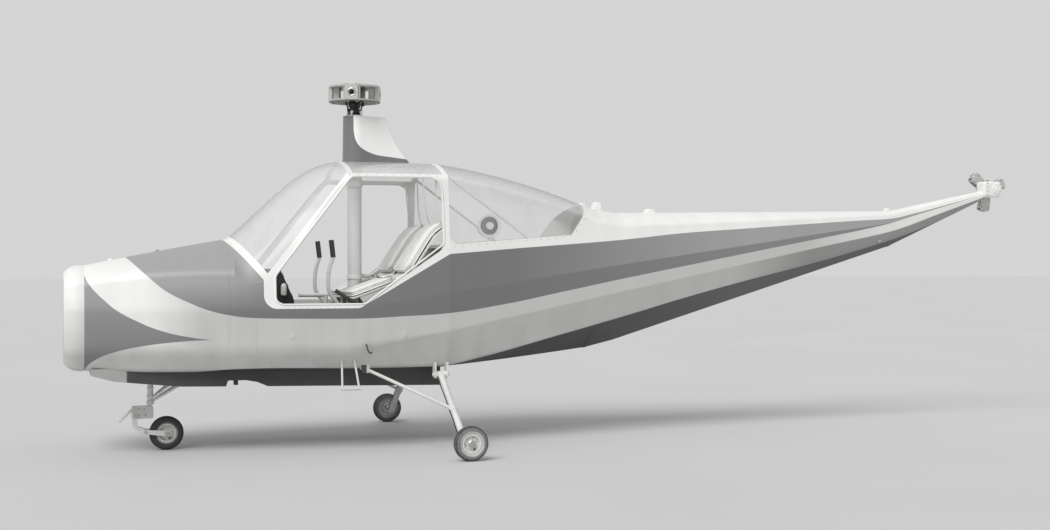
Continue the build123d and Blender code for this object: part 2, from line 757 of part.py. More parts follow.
# Nose strut: a bored post under the tray, with two pairs of drag braces
with BuildPart() as nose_strut:
    add(rod((strut_x, 0, strut_foot), (strut_x, 0, strut_top), strut_r))
    for level, top_x in zip(nose_brace_z, nose_brace_top_x):
        for side in (-1, 1):
            add(rod((strut_x, 0, level), (top_x, side * nose_brace_y, strut_top), nose_brace_r))
    add(side_prism(tray_line, -tray_half, tray_half), mode=Mode.SUBTRACT)
    add(rod((strut_x, 0, strut_foot), (strut_x, 0, strut_foot + spindle_length + move_gap),
            spindle_r + bore_gap), mode=Mode.SUBTRACT)
save(nose_strut, "nose_strut")

# Nose fork: turns on its spindle and trails the wheel behind the strut
axle_x = strut_x + nose_trail
arm_y = nose_tyre_width / 2 + fork_gap + fork_arm / 2
with BuildPart() as nose_fork:
    add(slab((fork_plate_front, fork_plate_rear), (-fork_plate_half, fork_plate_half), fork_plate_z))
    fillet(nose_fork.edges().filter_by(Axis.Y), 16)
    add(rod((strut_x, 0, fork_plate_z[1] - 1), (strut_x, 0, strut_foot + spindle_length), spindle_r))
    crosshead = (fork_plate_front + 24, fork_plate_z[0] + 24)
    add(rod((crosshead[0], -arm_y - fork_arm / 2, crosshead[1]),
            (crosshead[0], arm_y + fork_arm / 2, crosshead[1]), 22))
    for y in (-arm_y, arm_y):
        add(link(crosshead, fork_corner, 22, 15, y, fork_arm))
        add(link(fork_corner, fork_bolt, 15, 17, y, fork_arm))
        add(link(fork_bolt, (axle_x, nose_wheel_r), 17, 24, y, fork_arm))
        outer_y = y + (10 if y > 0 else -10)
        add(rod((fork_bolt[0], y, fork_bolt[1]), (fork_bolt[0], outer_y, fork_bolt[1]), 9))
    add(rod((axle_x, -arm_y - 12, nose_wheel_r), (axle_x, arm_y + 12, nose_wheel_r), axle_r))
    for y in (-30, 30):
        add(rod((crosshead[0], y, fork_plate_z[1] - 10), (handle_end[0], y, handle_end[1]), 7))
    add(rod((handle_end[0], -37, handle_end[1]), (handle_end[0], 37, handle_end[1]), 7))
    add(rod((crosshead[0], -37, fork_plate_z[1] - 10), (crosshead[0], 37, fork_plate_z[1] - 10), 7))
save(nose_fork, "nose_fork")
rim, tyre = wheel((axle_x, 0, nose_wheel_r), nose_wheel_r, nose_tyre_width)
with BuildPart() as nose_wheel:
    add(rim)
save(nose_wheel, "nose_wheel")
with BuildPart() as nose_tyre:
    add(tyre)
save(nose_tyre, "nose_tyre")

# Rotor shaft and the grooved swash drum under the hub
with BuildPart() as rotor_shaft:
    add(rod((mast_x, 0, mast_tube_top - 400), (mast_x, 0, hub_top + 6), rotor_shaft_r))
    with BuildSketch(Plane.XZ):
        with BuildLine():
            Polyline((mast_x, swash_bottom), (mast_x + 46, swash_bottom), (mast_x + swash_r, swash_bottom + 12),
                     (mast_x + swash_r, swash_bottom + 34), (mast_x + 44, swash_bottom + 40),
                     (mast_x + 44, swash_bottom + 58), (mast_x + swash_r, swash_bottom + 64),
                     (mast_x + swash_r, hub_bottom - 8), (mast_x + 44, hub_bottom), (mast_x, hub_bottom), close=True)
        make_face()
    revolve(axis=Axis((mast_x, 0, 0), (0, 0, 1)))
save(rotor_shaft, "rotor_shaft")

# Rotor hub: bored blade sockets held between two round plates, with spacer posts
block_z = (hub_bottom + hub_top) / 2
with BuildPart() as rotor_hub:
    for z in (hub_bottom, hub_top - hub_plate):
        with BuildSketch(Plane.XY.offset(z)):
            with Locations((mast_x, 0)):
                Circle(hub_r)
                Circle(hub_r - hub_block_depth, mode=Mode.SUBTRACT)
                Circle(hub_core_r)
                for number in range(hub_arms):
                    Rectangle(2 * (hub_r - 20), hub_block_width, rotation=hub_turn + 90 * number)
        extrude(amount=hub_plate)
    add(rod((mast_x, 0, hub_bottom), (mast_x, 0, hub_top), hub_core_r))
    for number in range(hub_arms):
        angle = radians(hub_turn + 90 * number)
        out = Vector(cos(angle), sin(angle), 0)
        plane = Plane(Vector(mast_x, 0, block_z) + out * (hub_r - hub_block_depth), x_dir=(0, 0, 1), z_dir=out)
        with BuildSketch(plane):
            Rectangle(hub_top - hub_bottom - hub_plate, hub_block_width)
        extrude(amount=hub_block_depth)
        for spread in (-hub_post_spread, hub_post_spread):
            post = radians(hub_turn + 90 * number + 45 + spread)
            x, y = mast_x + hub_post_place * cos(post), hub_post_place * sin(post)
            add(rod((x, y, hub_bottom), (x, y, hub_top), hub_post_r))
    for number in range(hub_arms):
        angle = radians(hub_turn + 90 * number)
        out = Vector(cos(angle), sin(angle), 0)
        start = Vector(mast_x, 0, block_z) + out * (hub_core_r + 20)
        add(rod(start, start + out * hub_r, hub_bore_r), mode=Mode.SUBTRACT)
    add(rod((mast_x, 0, 0), (mast_x, 0, 4000), rotor_shaft_r), mode=Mode.SUBTRACT)
save(rotor_hub, "rotor_hub")

# Tail gearbox: a rounded casting over the boom's end, with an output boss to starboard
with BuildPart() as tail_gearbox:
    add(slab(gearbox_x, (-gearbox_half, gearbox_half), gearbox_z))
    fillet(tail_gearbox.edges(), gearbox_round)
    add(rod((tail_hub_x, gearbox_half - 40, tail_hub_z), (tail_hub_x, tail_boss_y, tail_hub_z), tail_boss_r))
    add(rod((tail_hub_x, gearbox_half - 30, tail_hub_z), (tail_hub_x, tail_boss_y, tail_hub_z),
            tail_shaft_r + bore_gap), mode=Mode.SUBTRACT)
    add(outer["boom"], mode=Mode.SUBTRACT)
save(tail_gearbox, "tail_gearbox")


def tail_ray(number, turn, y):
    """A point on the tail rotor's axis, and a unit vector out along one of its arms."""
    angle = radians(turn + 360 * number / tail_blades)
    return Vector(tail_hub_x, y, tail_hub_z), Vector(cos(angle), 0, sin(angle))


# Tail rotor hub: its shaft, a bored grip for each blade and the pitch spider outboard
with BuildPart() as tail_rotor_hub:
    add(rod((tail_hub_x, gearbox_half - 28, tail_hub_z), (tail_hub_x, tail_hub_y + spider_y + 6, tail_hub_z),
            tail_shaft_r))
    add(rod((tail_hub_x, tail_hub_y - tail_hub_half, tail_hub_z),
            (tail_hub_x, tail_hub_y + tail_hub_half, tail_hub_z), tail_hub_r))
    for number in range(tail_blades):
        centre, out = tail_ray(number, tail_turn, tail_hub_y)
        add(rod(centre, centre + out * tail_grip_reach, tail_grip_r))
        centre, out = tail_ray(number, tail_turn + spider_lead, tail_hub_y + spider_y - spider_r)
        add(rod(centre, centre + out * spider_reach, spider_r))
    for number in range(tail_blades):
        centre, out = tail_ray(number, tail_turn, tail_hub_y)
        add(rod(centre + out * (tail_grip_reach - tail_bore_depth), centre + out * tail_grip_reach,
                tail_grip_bore), mode=Mode.SUBTRACT)
save(tail_rotor_hub, "tail_rotor_hub")
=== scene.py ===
# %% [markdown]
# # A light helicopter, dressed for its portrait
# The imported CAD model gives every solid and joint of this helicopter: a creased sheet-metal body
# with its engine in the nose, a glazed cabin, three wheels, and rotor heads that wait for their
# blades. This lesson keeps those solids where they are and adds what CAD leaves out: paint with
# its stripes, clear acrylic, soft seats, harnesses, tyre tread, rivets and bolts.
# Everything is in metres: x runs aft, y to starboard, z up, and the floor is z = 0.

# %% Load the frame
import math

import bmesh
import bpy
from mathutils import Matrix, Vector
from mathutils.bvhtree import BVHTree


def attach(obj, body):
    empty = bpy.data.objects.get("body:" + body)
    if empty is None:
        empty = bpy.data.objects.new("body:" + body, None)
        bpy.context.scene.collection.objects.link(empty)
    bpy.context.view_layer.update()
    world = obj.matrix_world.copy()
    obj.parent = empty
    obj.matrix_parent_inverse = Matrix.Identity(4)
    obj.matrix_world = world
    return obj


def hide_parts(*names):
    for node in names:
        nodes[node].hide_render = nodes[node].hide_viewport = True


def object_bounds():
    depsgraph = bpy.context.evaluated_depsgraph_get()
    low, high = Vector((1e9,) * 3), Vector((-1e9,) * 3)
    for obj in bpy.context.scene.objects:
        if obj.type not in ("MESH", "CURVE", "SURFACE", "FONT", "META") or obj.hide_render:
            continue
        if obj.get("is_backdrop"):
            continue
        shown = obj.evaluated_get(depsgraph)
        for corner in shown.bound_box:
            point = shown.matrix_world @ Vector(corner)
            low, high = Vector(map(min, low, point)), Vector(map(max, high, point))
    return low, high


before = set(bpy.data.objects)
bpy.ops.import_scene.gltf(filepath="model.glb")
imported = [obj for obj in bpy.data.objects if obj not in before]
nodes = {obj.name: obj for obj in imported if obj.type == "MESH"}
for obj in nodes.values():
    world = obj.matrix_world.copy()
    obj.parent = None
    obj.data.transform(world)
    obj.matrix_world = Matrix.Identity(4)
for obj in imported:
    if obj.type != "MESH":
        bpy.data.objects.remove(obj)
cad_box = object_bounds()

# %% [markdown]
# ## The camera
# The photographer stood about twelve metres off the port side, abreast of the nose, and held the
# camera at eye height. A camera that looks level keeps every upright of the real thing upright, so
# it is turned about the vertical only, and a normal lens does the rest.

# %% Camera
camera = bpy.data.objects.new("camera", bpy.data.cameras.new("camera"))
bpy.context.scene.collection.objects.link(camera)
camera.location = (-4.755, -12.279, 1.563)
camera.rotation_euler = (math.radians(90), 0, math.radians(-18.47))
camera.data.sensor_width = 36
camera.data.lens = 48.27
bpy.context.scene.camera = camera
bpy.context.scene.view_settings.view_transform = "Standard"

# %% [markdown]
# ## Shader maths as plain Python
# A finish is easier to read as an expression than as a picture of wires. `Wire` wraps one output
# socket, and its operators add Math nodes, so `1 - mask * 0.5` is written just so. `Finish` owns
# one material: `node` adds any other node, and `surface` plugs the results into the shader.


# %% Shader helpers
def operator(kind):
    """A method that feeds a wire and another value to a Math node."""
    def run(self, other):
        return self.math(kind, self, other)
    return run


class Wire:
    """One output socket, with arithmetic."""

    __add__ = __radd__ = operator("ADD")
    __mul__ = __rmul__ = operator("MULTIPLY")
    __sub__, __pow__ = operator("SUBTRACT"), operator("POWER")
    least, most = operator("MINIMUM"), operator("MAXIMUM")

    def __init__(self, finish, socket):
        self.finish, self.socket = finish, socket

    def math(self, operation, *values, clamp=False):
        return self.finish.node("Math", {"operation": operation, "use_clamp": clamp}, *values)

    def __rsub__(self, other):
        return self.math("SUBTRACT", other, self)

    def __abs__(self):
        return self.math("ABSOLUTE", self)

    def clip(self, high=1):
        """Held between zero and a top value."""
        return self.most(0).least(high)

    def step(self, soft=0.002):
        """0 below zero and 1 above it, with a soft edge."""
        return self.math("MULTIPLY_ADD", self, 1 / soft, 0.5, clamp=True)


class Finish:
    """One material, built by expressions."""

    def __init__(self, name, holder=None, **fixed):
        self.material = holder or bpy.data.materials.new(name)
        self.material.use_nodes = True
        self.tree = self.material.node_tree
        self.shader = self.tree.nodes["Background" if holder else "Principled BSDF"]
        self.surface(**fixed)
        place = self.tree.nodes.new("ShaderNodeTexCoord")
        self.place, self.normal = (Wire(self, place.outputs[kind]) for kind in ("Object", "Normal"))
        self.x, self.y, self.z = self.axes(self.place)

    def plug(self, socket, value):
        """Links a wire to a socket, or sets the socket's own value."""
        if isinstance(value, Wire):
            self.tree.links.new(value.socket, socket)
        elif value is not None:
            socket.default_value = value

    def node(self, kind, settings, *values, out=0, **named):
        """Adds a node, feeds its sockets in order or by name, and gives one output."""
        made = self.tree.nodes.new("ShaderNode" + kind)
        for key, value in settings.items():
            setattr(made, key, value)
        for socket, value in zip([s for s in made.inputs if s.enabled], values):
            self.plug(socket, value)
        for name, value in named.items():
            self.plug(made.inputs[name], value)
        return made if out is None else Wire(self, [s for s in made.outputs if s.enabled][out])

    def surface(self, **sockets):
        """Feeds the shader itself; a blank in a socket's name is written as _."""
        for name, value in sockets.items():
            self.plug(self.shader.inputs[name.replace("_", " ")], value)

    def axes(self, vector):
        """The x, y and z of a vector, as three wires."""
        split = self.node("SeparateXYZ", {}, vector, out=None)
        return [Wire(self, split.outputs[axis]) for axis in "XYZ"]

    def noise(self, scale, detail=3.0, stretch=None):
        where = self.node("Mapping", {}, Vector=self.place, Scale=stretch) if stretch else self.place
        return self.node("TexNoise", {}, Vector=where, Scale=scale, Detail=detail)

    def mix(self, factor, one, other):
        """Blend two colours, or two numbers used as greys."""
        shades = [s if isinstance(s, (Wire, tuple)) else (s, s, s) for s in (one, other)]
        shades = [s if isinstance(s, Wire) else (*s[:3], 1) for s in shades]
        return self.node("Mix", {"data_type": "RGBA"}, factor, *shades)

    def bump(self, height, distance):
        self.surface(Normal=self.node("Bump", {}, Height=height, Distance=distance, Strength=1.0))

    def line(self, points):
        """The height of a side-view line at this x, through a float curve."""
        xs, zs = zip(*points)
        x0, x1, z0, z1 = min(xs), max(xs), min(zs), max(zs)
        made = self.node("FloatCurve", {}, 1.0, (self.x - x0) * (1 / (x1 - x0)), out=None)
        curve = made.mapping.curves[0]
        for _ in points[2:]:
            curve.points.new(0.5, 0.5)
        for spot, (x, z) in zip(curve.points, points):
            spot.location = (x - x0) / (x1 - x0), (z - z0) / (z1 - z0)
        made.mapping.update()
        return Wire(self, made.outputs[0]) * (z1 - z0) + z0


def reach(one, other):
    """The distance that two wires span at right angles."""
    return (one ** 2 + other ** 2) ** 0.5


print("shader helpers ready")

# %% [markdown]
# ## Floor and light
# The studio is a pale floor that runs out to a pale backdrop, with an even sky and one broad lamp
# high behind the camera's left shoulder. Tops catch more light than upright sides, so each crease
# of the tail shows as a change of tone. The sky looks brighter to the camera and in reflections
# than it lights.

# %% Studio
SKY_LIGHT, SKY_SEEN, LAMP = 0.46, 0.66, 2.2
FLOOR_EDGE = 150


def add_object(name, data):
    made = bpy.data.objects.new(name, data)
    bpy.context.scene.collection.objects.link(made)
    return made


bpy.context.scene.world = bpy.data.worlds.new("studio sky")
sky = Finish("studio sky", holder=bpy.context.scene.world, Color=(1, 1, 1, 1))
rays = sky.node("LightPath", {}, out=None).outputs
shown = Wire(sky, rays["Is Camera Ray"]).most(Wire(sky, rays["Is Glossy Ray"]))
shown = shown.most(Wire(sky, rays["Is Transmission Ray"]))
sky.surface(Strength=shown * (SKY_SEEN - SKY_LIGHT) + SKY_LIGHT)

floor_finish = Finish("studio floor", Roughness=0.7)
patches = floor_finish.noise(0.35, 3.0)
floor_finish.surface(Base_Color=floor_finish.mix(patches, 0.60, 0.66))
floor_mesh = bpy.data.meshes.new("floor")
corners = [(u * FLOOR_EDGE, v * FLOOR_EDGE, 0) for u, v in ((-1, -1), (1, -1), (1, 1), (-1, 1))]
floor_mesh.from_pydata(corners, [], [(0, 1, 2, 3)])
floor_mesh.materials.append(floor_finish.material)
add_object("floor", floor_mesh)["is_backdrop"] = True

lamp = add_object("lamp", bpy.data.lights.new("lamp", "SUN"))
lamp.data.energy = LAMP
lamp.data.angle = math.radians(34)
lamp.rotation_euler = (math.radians(29), math.radians(-35), 0)
print("studio ready")

# %% [markdown]
# ## The stripes
# The body is white with one broad mid-grey sweep down each side and a grey dart behind the nose
# bowl. Masking tape pulled along a real fuselage gives lines that are long smooth curves in side
# view, so each edge here is a height above every x, held by a float curve. Two edges make a
# stripe: grey is where z lies above the lower edge and below the upper one.

# %% Stripe edges, as (x, z) in metres
SWEEP_LOW = [(-4.25, 1.68), (-4.19, 1.620), (-4.14, 1.569), (-4.076, 1.503), (-4.00, 1.432),
             (-3.931, 1.372), (-3.855, 1.322), (-3.708, 1.250), (-3.561, 1.191), (-3.404, 1.153),
             (-3.254, 1.133), (-2.841, 1.121), (-2.263, 1.117), (-1.978, 1.130), (-1.617, 1.147),
             (-1.048, 1.221), (-0.501, 1.320), (0.134, 1.437), (0.791, 1.554), (1.476, 1.676),
             (2.193, 1.801), (2.943, 1.934), (3.176, 1.983), (3.42, 2.050), (3.90, 2.178), (4.30, 2.286)]
SWEEP_HIGH = [(-4.6, 2.7), (-1.62, 2.7), (-1.60, 1.674), (-0.974, 1.707), (-0.492, 1.741),
              (0.150, 1.793), (0.807, 1.861), (1.491, 1.911), (2.205, 1.963), (2.798, 2.003),
              (3.176, 2.027), (3.42, 2.075), (3.90, 2.188), (4.30, 2.286)]
DART_TOP = [(-4.53, 1.48), (-4.494, 1.408), (-4.443, 1.343), (-4.372, 1.273), (-4.297, 1.207),
            (-4.149, 1.120), (-3.928, 1.027), (-3.707, 0.975), (-3.543, 0.954)]
DART_LOW = [(-4.53, 0.708), (-4.442, 0.799), (-4.296, 0.860), (-4.075, 0.908), (-3.855, 0.935),
            (-3.543, 0.954)]
DART_END = -3.545
BELLY_TOP = [(-4.60, 0.50), (-4.23, 0.52), (-4.20, 0.674), (-3.85, 0.657), (-3.613, 0.686),
             (-3.388, 0.704), (-1.594, 0.690), (-1.336, 0.734), (-0.459, 0.938), (0.184, 1.090),
             (0.832, 1.258), (1.512, 1.416), (2.226, 1.569), (2.925, 1.740), (3.42, 1.88), (4.30, 2.22)]
LOW_CREASE = [(-0.54, 1.192), (0.21, 1.335), (0.96, 1.478), (1.71, 1.620),
              (2.45, 1.762), (3.20, 1.905), (3.75, 2.080), (4.30, 2.256)]
MID_CREASE = [(-0.54, 1.475), (0.21, 1.578), (0.96, 1.681), (1.71, 1.784),
              (2.45, 1.887), (3.20, 1.990), (3.75, 2.135), (4.30, 2.280)]


def stripe_mask(finish):
    """1 on the grey sweep and dart, 0 on the white."""
    sweep = (finish.z - finish.line(SWEEP_LOW)).step() * (finish.line(SWEEP_HIGH) - finish.z).step()
    dart = (finish.line(DART_TOP) - finish.z).step() * (finish.z - finish.line(DART_LOW)).step()
    return sweep.most(dart * (DART_END - finish.x).step())


print("stripe edges", len(SWEEP_LOW) + len(SWEEP_HIGH) + len(DART_TOP) + len(DART_LOW), "points")

# %% [markdown]
# Paint that stands outdoors ages by place, and painted light and shade are laid into it here too. The
# white is greyer low on the flanks, which is painted shade, and darker under the tail. The grey is
# lighter on the top of the nose, which is a painted reflection of the sky, and above the tail's middle
# crease, which is painted light on that facet. The dark belly gathers dust as it runs aft. Grime lies
# over it all, and more of it low down.

# %% Coachwork paint
# Of the whites, the pale grey one is the white in painted shade low on the flanks.
WHITE, PALE_GREY, UNDER_TAIL_GREY = (0.88, 0.88, 0.86), (0.60, 0.60, 0.59), (0.34, 0.34, 0.335)
# The lightest grey is painted light: sky reflected on the nose top, and the lit upper facet of the tail.
GREY, FADED_GREY, LIT_GREY = (0.18, 0.18, 0.185), (0.25, 0.25, 0.25), (0.35, 0.35, 0.35)
DARK, DUSTY_DARK, GRIME = (0.035, 0.035, 0.036), (0.14, 0.14, 0.14), (0.17, 0.16, 0.15)


def white_with_painted_shade(finish):
    """White with painted shade below the sweep, and darker under the tail."""
    x, z = finish.x, finish.z
    # Painted shade: the white greys low on the flanks, below the sweep, fading out towards the tail.
    flank_shade = ((x + 4.1) * 2.2).most((1.02 - z) * 6).clip() * ((3.3 - x) * 0.9).clip()
    flank_shade = flank_shade * (finish.line(SWEEP_LOW) - z).step()
    # Below the low crease the white turns darker towards the tail.
    under = (finish.line(LOW_CREASE) - z).step() * ((x - 1.3) * 1.1).clip()
    return finish.mix(under, finish.mix(flank_shade, WHITE, PALE_GREY), UNDER_TAIL_GREY)


def grey_with_painted_light(finish, aft):
    """Grey with painted light: lighter on the top of the nose and above the tail's middle crease."""
    x, z = finish.x, finish.z
    # Painted reflection of the sky: the grey is lighter high on the nose.
    nose_top_light = ((z - 0.75) * 1.3 * ((-3.5 - x) * 2).clip()).most((z - 1.19) * 4.4).clip()
    nose_top_light = nose_top_light * ((-2.9 - x) * 2.5).clip()
    # Painted light: the grey above the tail's middle crease is lighter, as on a lit upper facet.
    upper = (z - finish.line(MID_CREASE)).step()
    return finish.mix(aft, finish.mix(nose_top_light, GREY, LIT_GREY), finish.mix(upper, FADED_GREY, LIT_GREY))


body_paint = Finish("striped coachwork", Coat_Roughness=0.32)
aft = ((body_paint.x + 1.0) * 0.4).clip()
belly = (body_paint.line(BELLY_TOP) - body_paint.z).step()
broad, fine = body_paint.noise(1.7, 4.0), body_paint.noise(45, 3.0)
runs = body_paint.noise(1.0, 3.0, stretch=(5, 5, 0.8))
low_down = ((1.25 - body_paint.z) * 1.2).clip()
grime = ((broad * 0.6 + runs * 0.6 - 0.48).most(0) * (0.35 + low_down * 0.8)).least(0.5)
colour = body_paint.mix(stripe_mask(body_paint), white_with_painted_shade(body_paint), grey_with_painted_light(body_paint, aft))
colour = body_paint.mix(belly, colour, body_paint.mix(aft, DARK, DUSTY_DARK))
body_paint.surface(Base_Color=body_paint.mix(grime, colour, GRIME),
                   Roughness=fine * 0.08 + broad * 0.10 + belly * 0.25 + 0.37,
                   Coat_Weight=0.14 - belly * 0.12)
body_paint.bump(broad * 0.7 + fine * 0.03, 0.0016)
print("stripes on", body_paint.material.name)

# %% [markdown]
# ## Small shapes in mesh code
# Bolts, knobs and bosses are turned parts, so `lathe` spins a short profile about any axis. Tubes,
# piping and cords are swept parts, so `pipe` carries a ring along a path without twisting it.
# Straps and sheet laps are ribbons: flat sections that keep to the surface they lie on.


# %% Shape helpers
UP, DOWN, STARBOARD = Vector((0, 0, 1)), Vector((0, 0, -1)), Vector((0, 1, 0))


def lathe(shape, start, axis, profile, steps=20, inner=None, turn=0.0):
    """Spins (distance, radius) pairs about an axis; an inner radius closes both ends down to it."""
    if inner is not None:
        profile = [(profile[0][0], inner), *profile, (profile[-1][0], inner)]
    axis = Vector(axis).normalized()
    side = axis.orthogonal().normalized()
    other = axis.cross(side)
    rings = []
    for along, radius in profile:
        centre = Vector(start) + axis * along
        count = steps if radius > 1e-6 else 1
        angles = [turn + math.tau * k / steps for k in range(count)]
        rings.append([shape.verts.new(centre + (side * math.cos(a) + other * math.sin(a)) * radius)
                      for a in angles])
    for low, high in zip(rings, rings[1:]):
        for k in range(steps):
            n = (k + 1) % steps
            corners = [low[k % len(low)], low[n % len(low)], high[n % len(high)], high[k % len(high)]]
            corners = list(dict.fromkeys(corners))
            if len(corners) > 2:
                shape.faces.new(corners)


def bolt(shape, place, axis, size, washer=1.5):
    """A hexagon head with a chamfered top, on a washer."""
    if washer:
        lathe(shape, place, axis, [(0, size * washer), (size * 0.18, size * washer), (size * 0.2, 0)], 16)
    head = [(0, size), (size * 0.75, size), (size * 0.92, size * 0.8), (size * 0.92, 0)]
    lathe(shape, place, axis, head, 6)


def join_rings(shape, rings, closed=False):
    """Walls between rings of points, and a flat face on each end unless the run is closed."""
    rings = [[shape.verts.new(point) for point in ring] for ring in rings]
    for low, high in zip(rings, rings[1:] + rings[:1] if closed else rings[1:]):
        for k in range(len(low)):
            n = (k + 1) % len(low)
            shape.faces.new([low[k], low[n], high[n], high[k]])
    if not closed:
        shape.faces.new(rings[0][::-1])
        shape.faces.new(rings[-1])


def smooth_path(points, steps=8, closed=False):
    """Points along a Catmull-Rom line through the given ones."""
    points = [Vector(p) for p in points]
    if closed:
        ring = [points[-1], *points, points[0], points[1]]
    else:
        ring = [points[0] * 2 - points[1], *points, points[-1] * 2 - points[-2]]
    made = []
    for a, b, c, d in zip(ring, ring[1:], ring[2:], ring[3:]):
        for k in range(steps):
            t = k / steps
            made.append(0.5 * (2 * b + (c - a) * t + (2 * a - 5 * b + 4 * c - d) * t * t
                               + (3 * b - a - 3 * c + d) * t ** 3))
    return made if closed else [*made, points[-1]]


def pipe(shape, points, radius, steps=10, closed=False):
    """A round bar swept along a path."""
    points = [Vector(p) for p in points]
    count = len(points)
    angles = [math.tau * n / steps for n in range(steps)]
    up = None
    rings = []
    for k, point in enumerate(points):
        ahead = points[(k + 1) % count] if closed or k + 1 < count else point
        behind = points[k - 1] if closed or k else point
        along = (ahead - behind).normalized()
        up = (along.orthogonal() if up is None else up - along * up.dot(along)).normalized()
        across = along.cross(up)
        rings.append([point + (up * math.cos(a) + across * math.sin(a)) * radius for a in angles])
    join_rings(shape, rings, closed)


def ribbon(shape, points, normals, width, thick, sink=0.0005):
    """A flat strip along a path, lying on a surface with the given normals."""
    points = [Vector(p) for p in points]
    rings = []
    for k, (point, normal) in enumerate(zip(points, normals)):
        along = points[min(k + 1, len(points) - 1)] - points[max(k - 1, 0)]
        normal = Vector(normal).normalized()
        across = normal.cross(along).normalized() * (width / 2)
        edge = across * (1 - 0.8 * thick / width)
        high, low = normal * thick, normal * sink
        rings.append([point + offset for offset in (across - low, edge + high, high - edge, -across - low)])
    join_rings(shape, rings)


def piece(name, shape, finish, body="root", sharp=35):
    """Makes a bmesh a shown piece that rides on a body."""
    bmesh.ops.recalc_face_normals(shape, faces=shape.faces)
    mesh = bpy.data.meshes.new(name)
    shape.to_mesh(mesh)
    shape.free()
    mesh.materials.append(finish.material)
    mesh.shade_smooth()
    mesh.set_sharp_from_angle(angle=math.radians(sharp))
    made = add_object(name, mesh)
    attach(made, body)
    return made


print("shape helpers ready")

# %% [markdown]
# ## Finding the skin
# Trim and rivets have to sit on panels that taper and curve. Rather than repeat the CAD's section
# tables, `Skin` shoots a ray at the real mesh and reads where it lands and which way it faces.

# %% Skin finder
SIDES = (-1, 1)  # port and starboard


def mesh_tree(mesh):
    """A mesh as a tree that answers rays and finds nearest points."""
    return BVHTree.FromPolygons([v.co for v in mesh.vertices], [list(p.vertices) for p in mesh.polygons])


class Skin:
    """The outside of some CAD nodes, found by rays from the side or from above."""

    def __init__(self, *names):
        verts, faces = [], []
        for name in names:
            mesh = nodes[name].data
            base = len(verts)
            verts += [v.co.copy() for v in mesh.vertices]
            faces += [[base + i for i in p.vertices] for p in mesh.polygons]
        self.tree = BVHTree.FromPolygons(verts, faces)

    def at(self, start, direction):
        """Where a ray lands, and which way the skin faces there."""
        spot, normal, _, _ = self.tree.ray_cast(Vector(start), Vector(direction))
        if spot is not None and normal.dot(Vector(direction)) > 0:
            normal = -normal
        return spot, normal

    def side(self, x, z, side):
        return self.at((x, side * 3, z), (0, -side, 0))

    def top(self, x, y):
        return self.at((x, y, 4), DOWN)


def spaced(points, pitch):
    """Points a fixed pitch apart along a line of straight runs."""
    points = [Vector(p) for p in points]
    made, left = [points[0]], pitch
    for a, b in zip(points, points[1:]):
        run = (b - a).length
        gone = 0.0
        while run - gone >= left:
            gone += left
            made.append(a + (b - a) * (gone / run))
            left = pitch
        left -= run - gone
    return made


def on_side(skin, line, pitch, side):
    """Places and normals on the skin, a pitch apart along a side-view line of (x, z)."""
    found = (skin.side(p.x, p.y, side) for p in spaced(line, pitch))
    return [(spot, normal) for spot, normal in found if spot is not None]


print("skin finder ready")

# %% [markdown]
# ## Paints, metals, acrylic and rubber
# A flat colour looks like plastic at any price. Each finish here is broken up the way its real
# stuff is: paint gathers patches of grime, metal shows its grain, and rubber goes grey where it
# flexes. `worn` makes the plain paints and metals, and the rest come after it.


# %% Plain finishes
def worn(name, colour, rough, dust=0.1, height=0.0004, grain=60, **fixed):
    """A plain colour with broad grime, fine speckle and a faint ripple."""
    finish = Finish(name, **fixed)
    broad, fine = finish.noise(2.6, 4.0), finish.noise(grain, 2.0)
    grime = ((broad * 0.7 + fine * 0.3 - 0.40) * dust * 4).clip(0.7)
    finish.surface(Base_Color=finish.mix(grime, colour, (0.15, 0.14, 0.13)),
                   Roughness=fine * 0.14 + broad * 0.10 + (rough - 0.12))
    finish.bump(broad * 0.6 + fine * 0.4, height)
    return finish


white_paint = worn("white gloss paint", WHITE, 0.40, dust=0.06, Coat_Weight=0.14, Coat_Roughness=0.25)
bowl_paint = worn("nose bowl paint", WHITE, 0.40, Coat_Weight=0.14, Coat_Roughness=0.25)
# Painted shade: the bowl's white darkens towards its bottom, with a little random unevenness.
bowl_low_shade = ((1.34 - bowl_paint.z) * 2.0 + (bowl_paint.noise(5, 4.0) - 0.5) * 0.3).clip()
bowl_paint.surface(Base_Color=bowl_paint.mix(bowl_low_shade, WHITE, (0.54, 0.54, 0.52)))
interior_paint = worn("cabin interior paint", (0.16, 0.16, 0.16), 0.6, dust=0.3)
deck_paint = worn("deck paint", (0.50, 0.50, 0.49), 0.6, dust=0.2)
tube_paint = worn("pale tube paint", (0.80, 0.80, 0.78), 0.38, dust=0.10)
gear_paint = worn("landing gear paint", (0.76, 0.76, 0.74), 0.40, dust=0.22)
mast_paint = worn("mast tube paint", (0.74, 0.74, 0.73), 0.35, dust=0.12)
black_paint = worn("black enamel", (0.022, 0.022, 0.024), 0.38, dust=0.12)
black_plastic = worn("black plastic", (0.018, 0.018, 0.018), 0.5, dust=0.05, grain=180, height=0.0002)
steel = worn("machined steel", (0.50, 0.50, 0.49), 0.34, dust=0.12, grain=220, Metallic=0.9)
bright_steel = worn("plated steel", (0.66, 0.66, 0.65), 0.22, dust=0.08, grain=200, Metallic=1.0)
cast_alloy = worn("cast alloy", (0.48, 0.48, 0.47), 0.52, dust=0.22, grain=320, height=0.0006, Metallic=0.6)
head_alloy = worn("rotor head alloy", (0.60, 0.60, 0.58), 0.42, dust=0.22, grain=150, Metallic=0.35)
wheel_paint = worn("wheel paint", (0.74, 0.74, 0.72), 0.42, dust=0.24)
print("plain finishes ready")

# %% [markdown]
# The pylon's fairing is white with a grey leading edge and foot. The edge between them is one
# sweep in side view: it falls straight down the front and then runs aft along the roof.

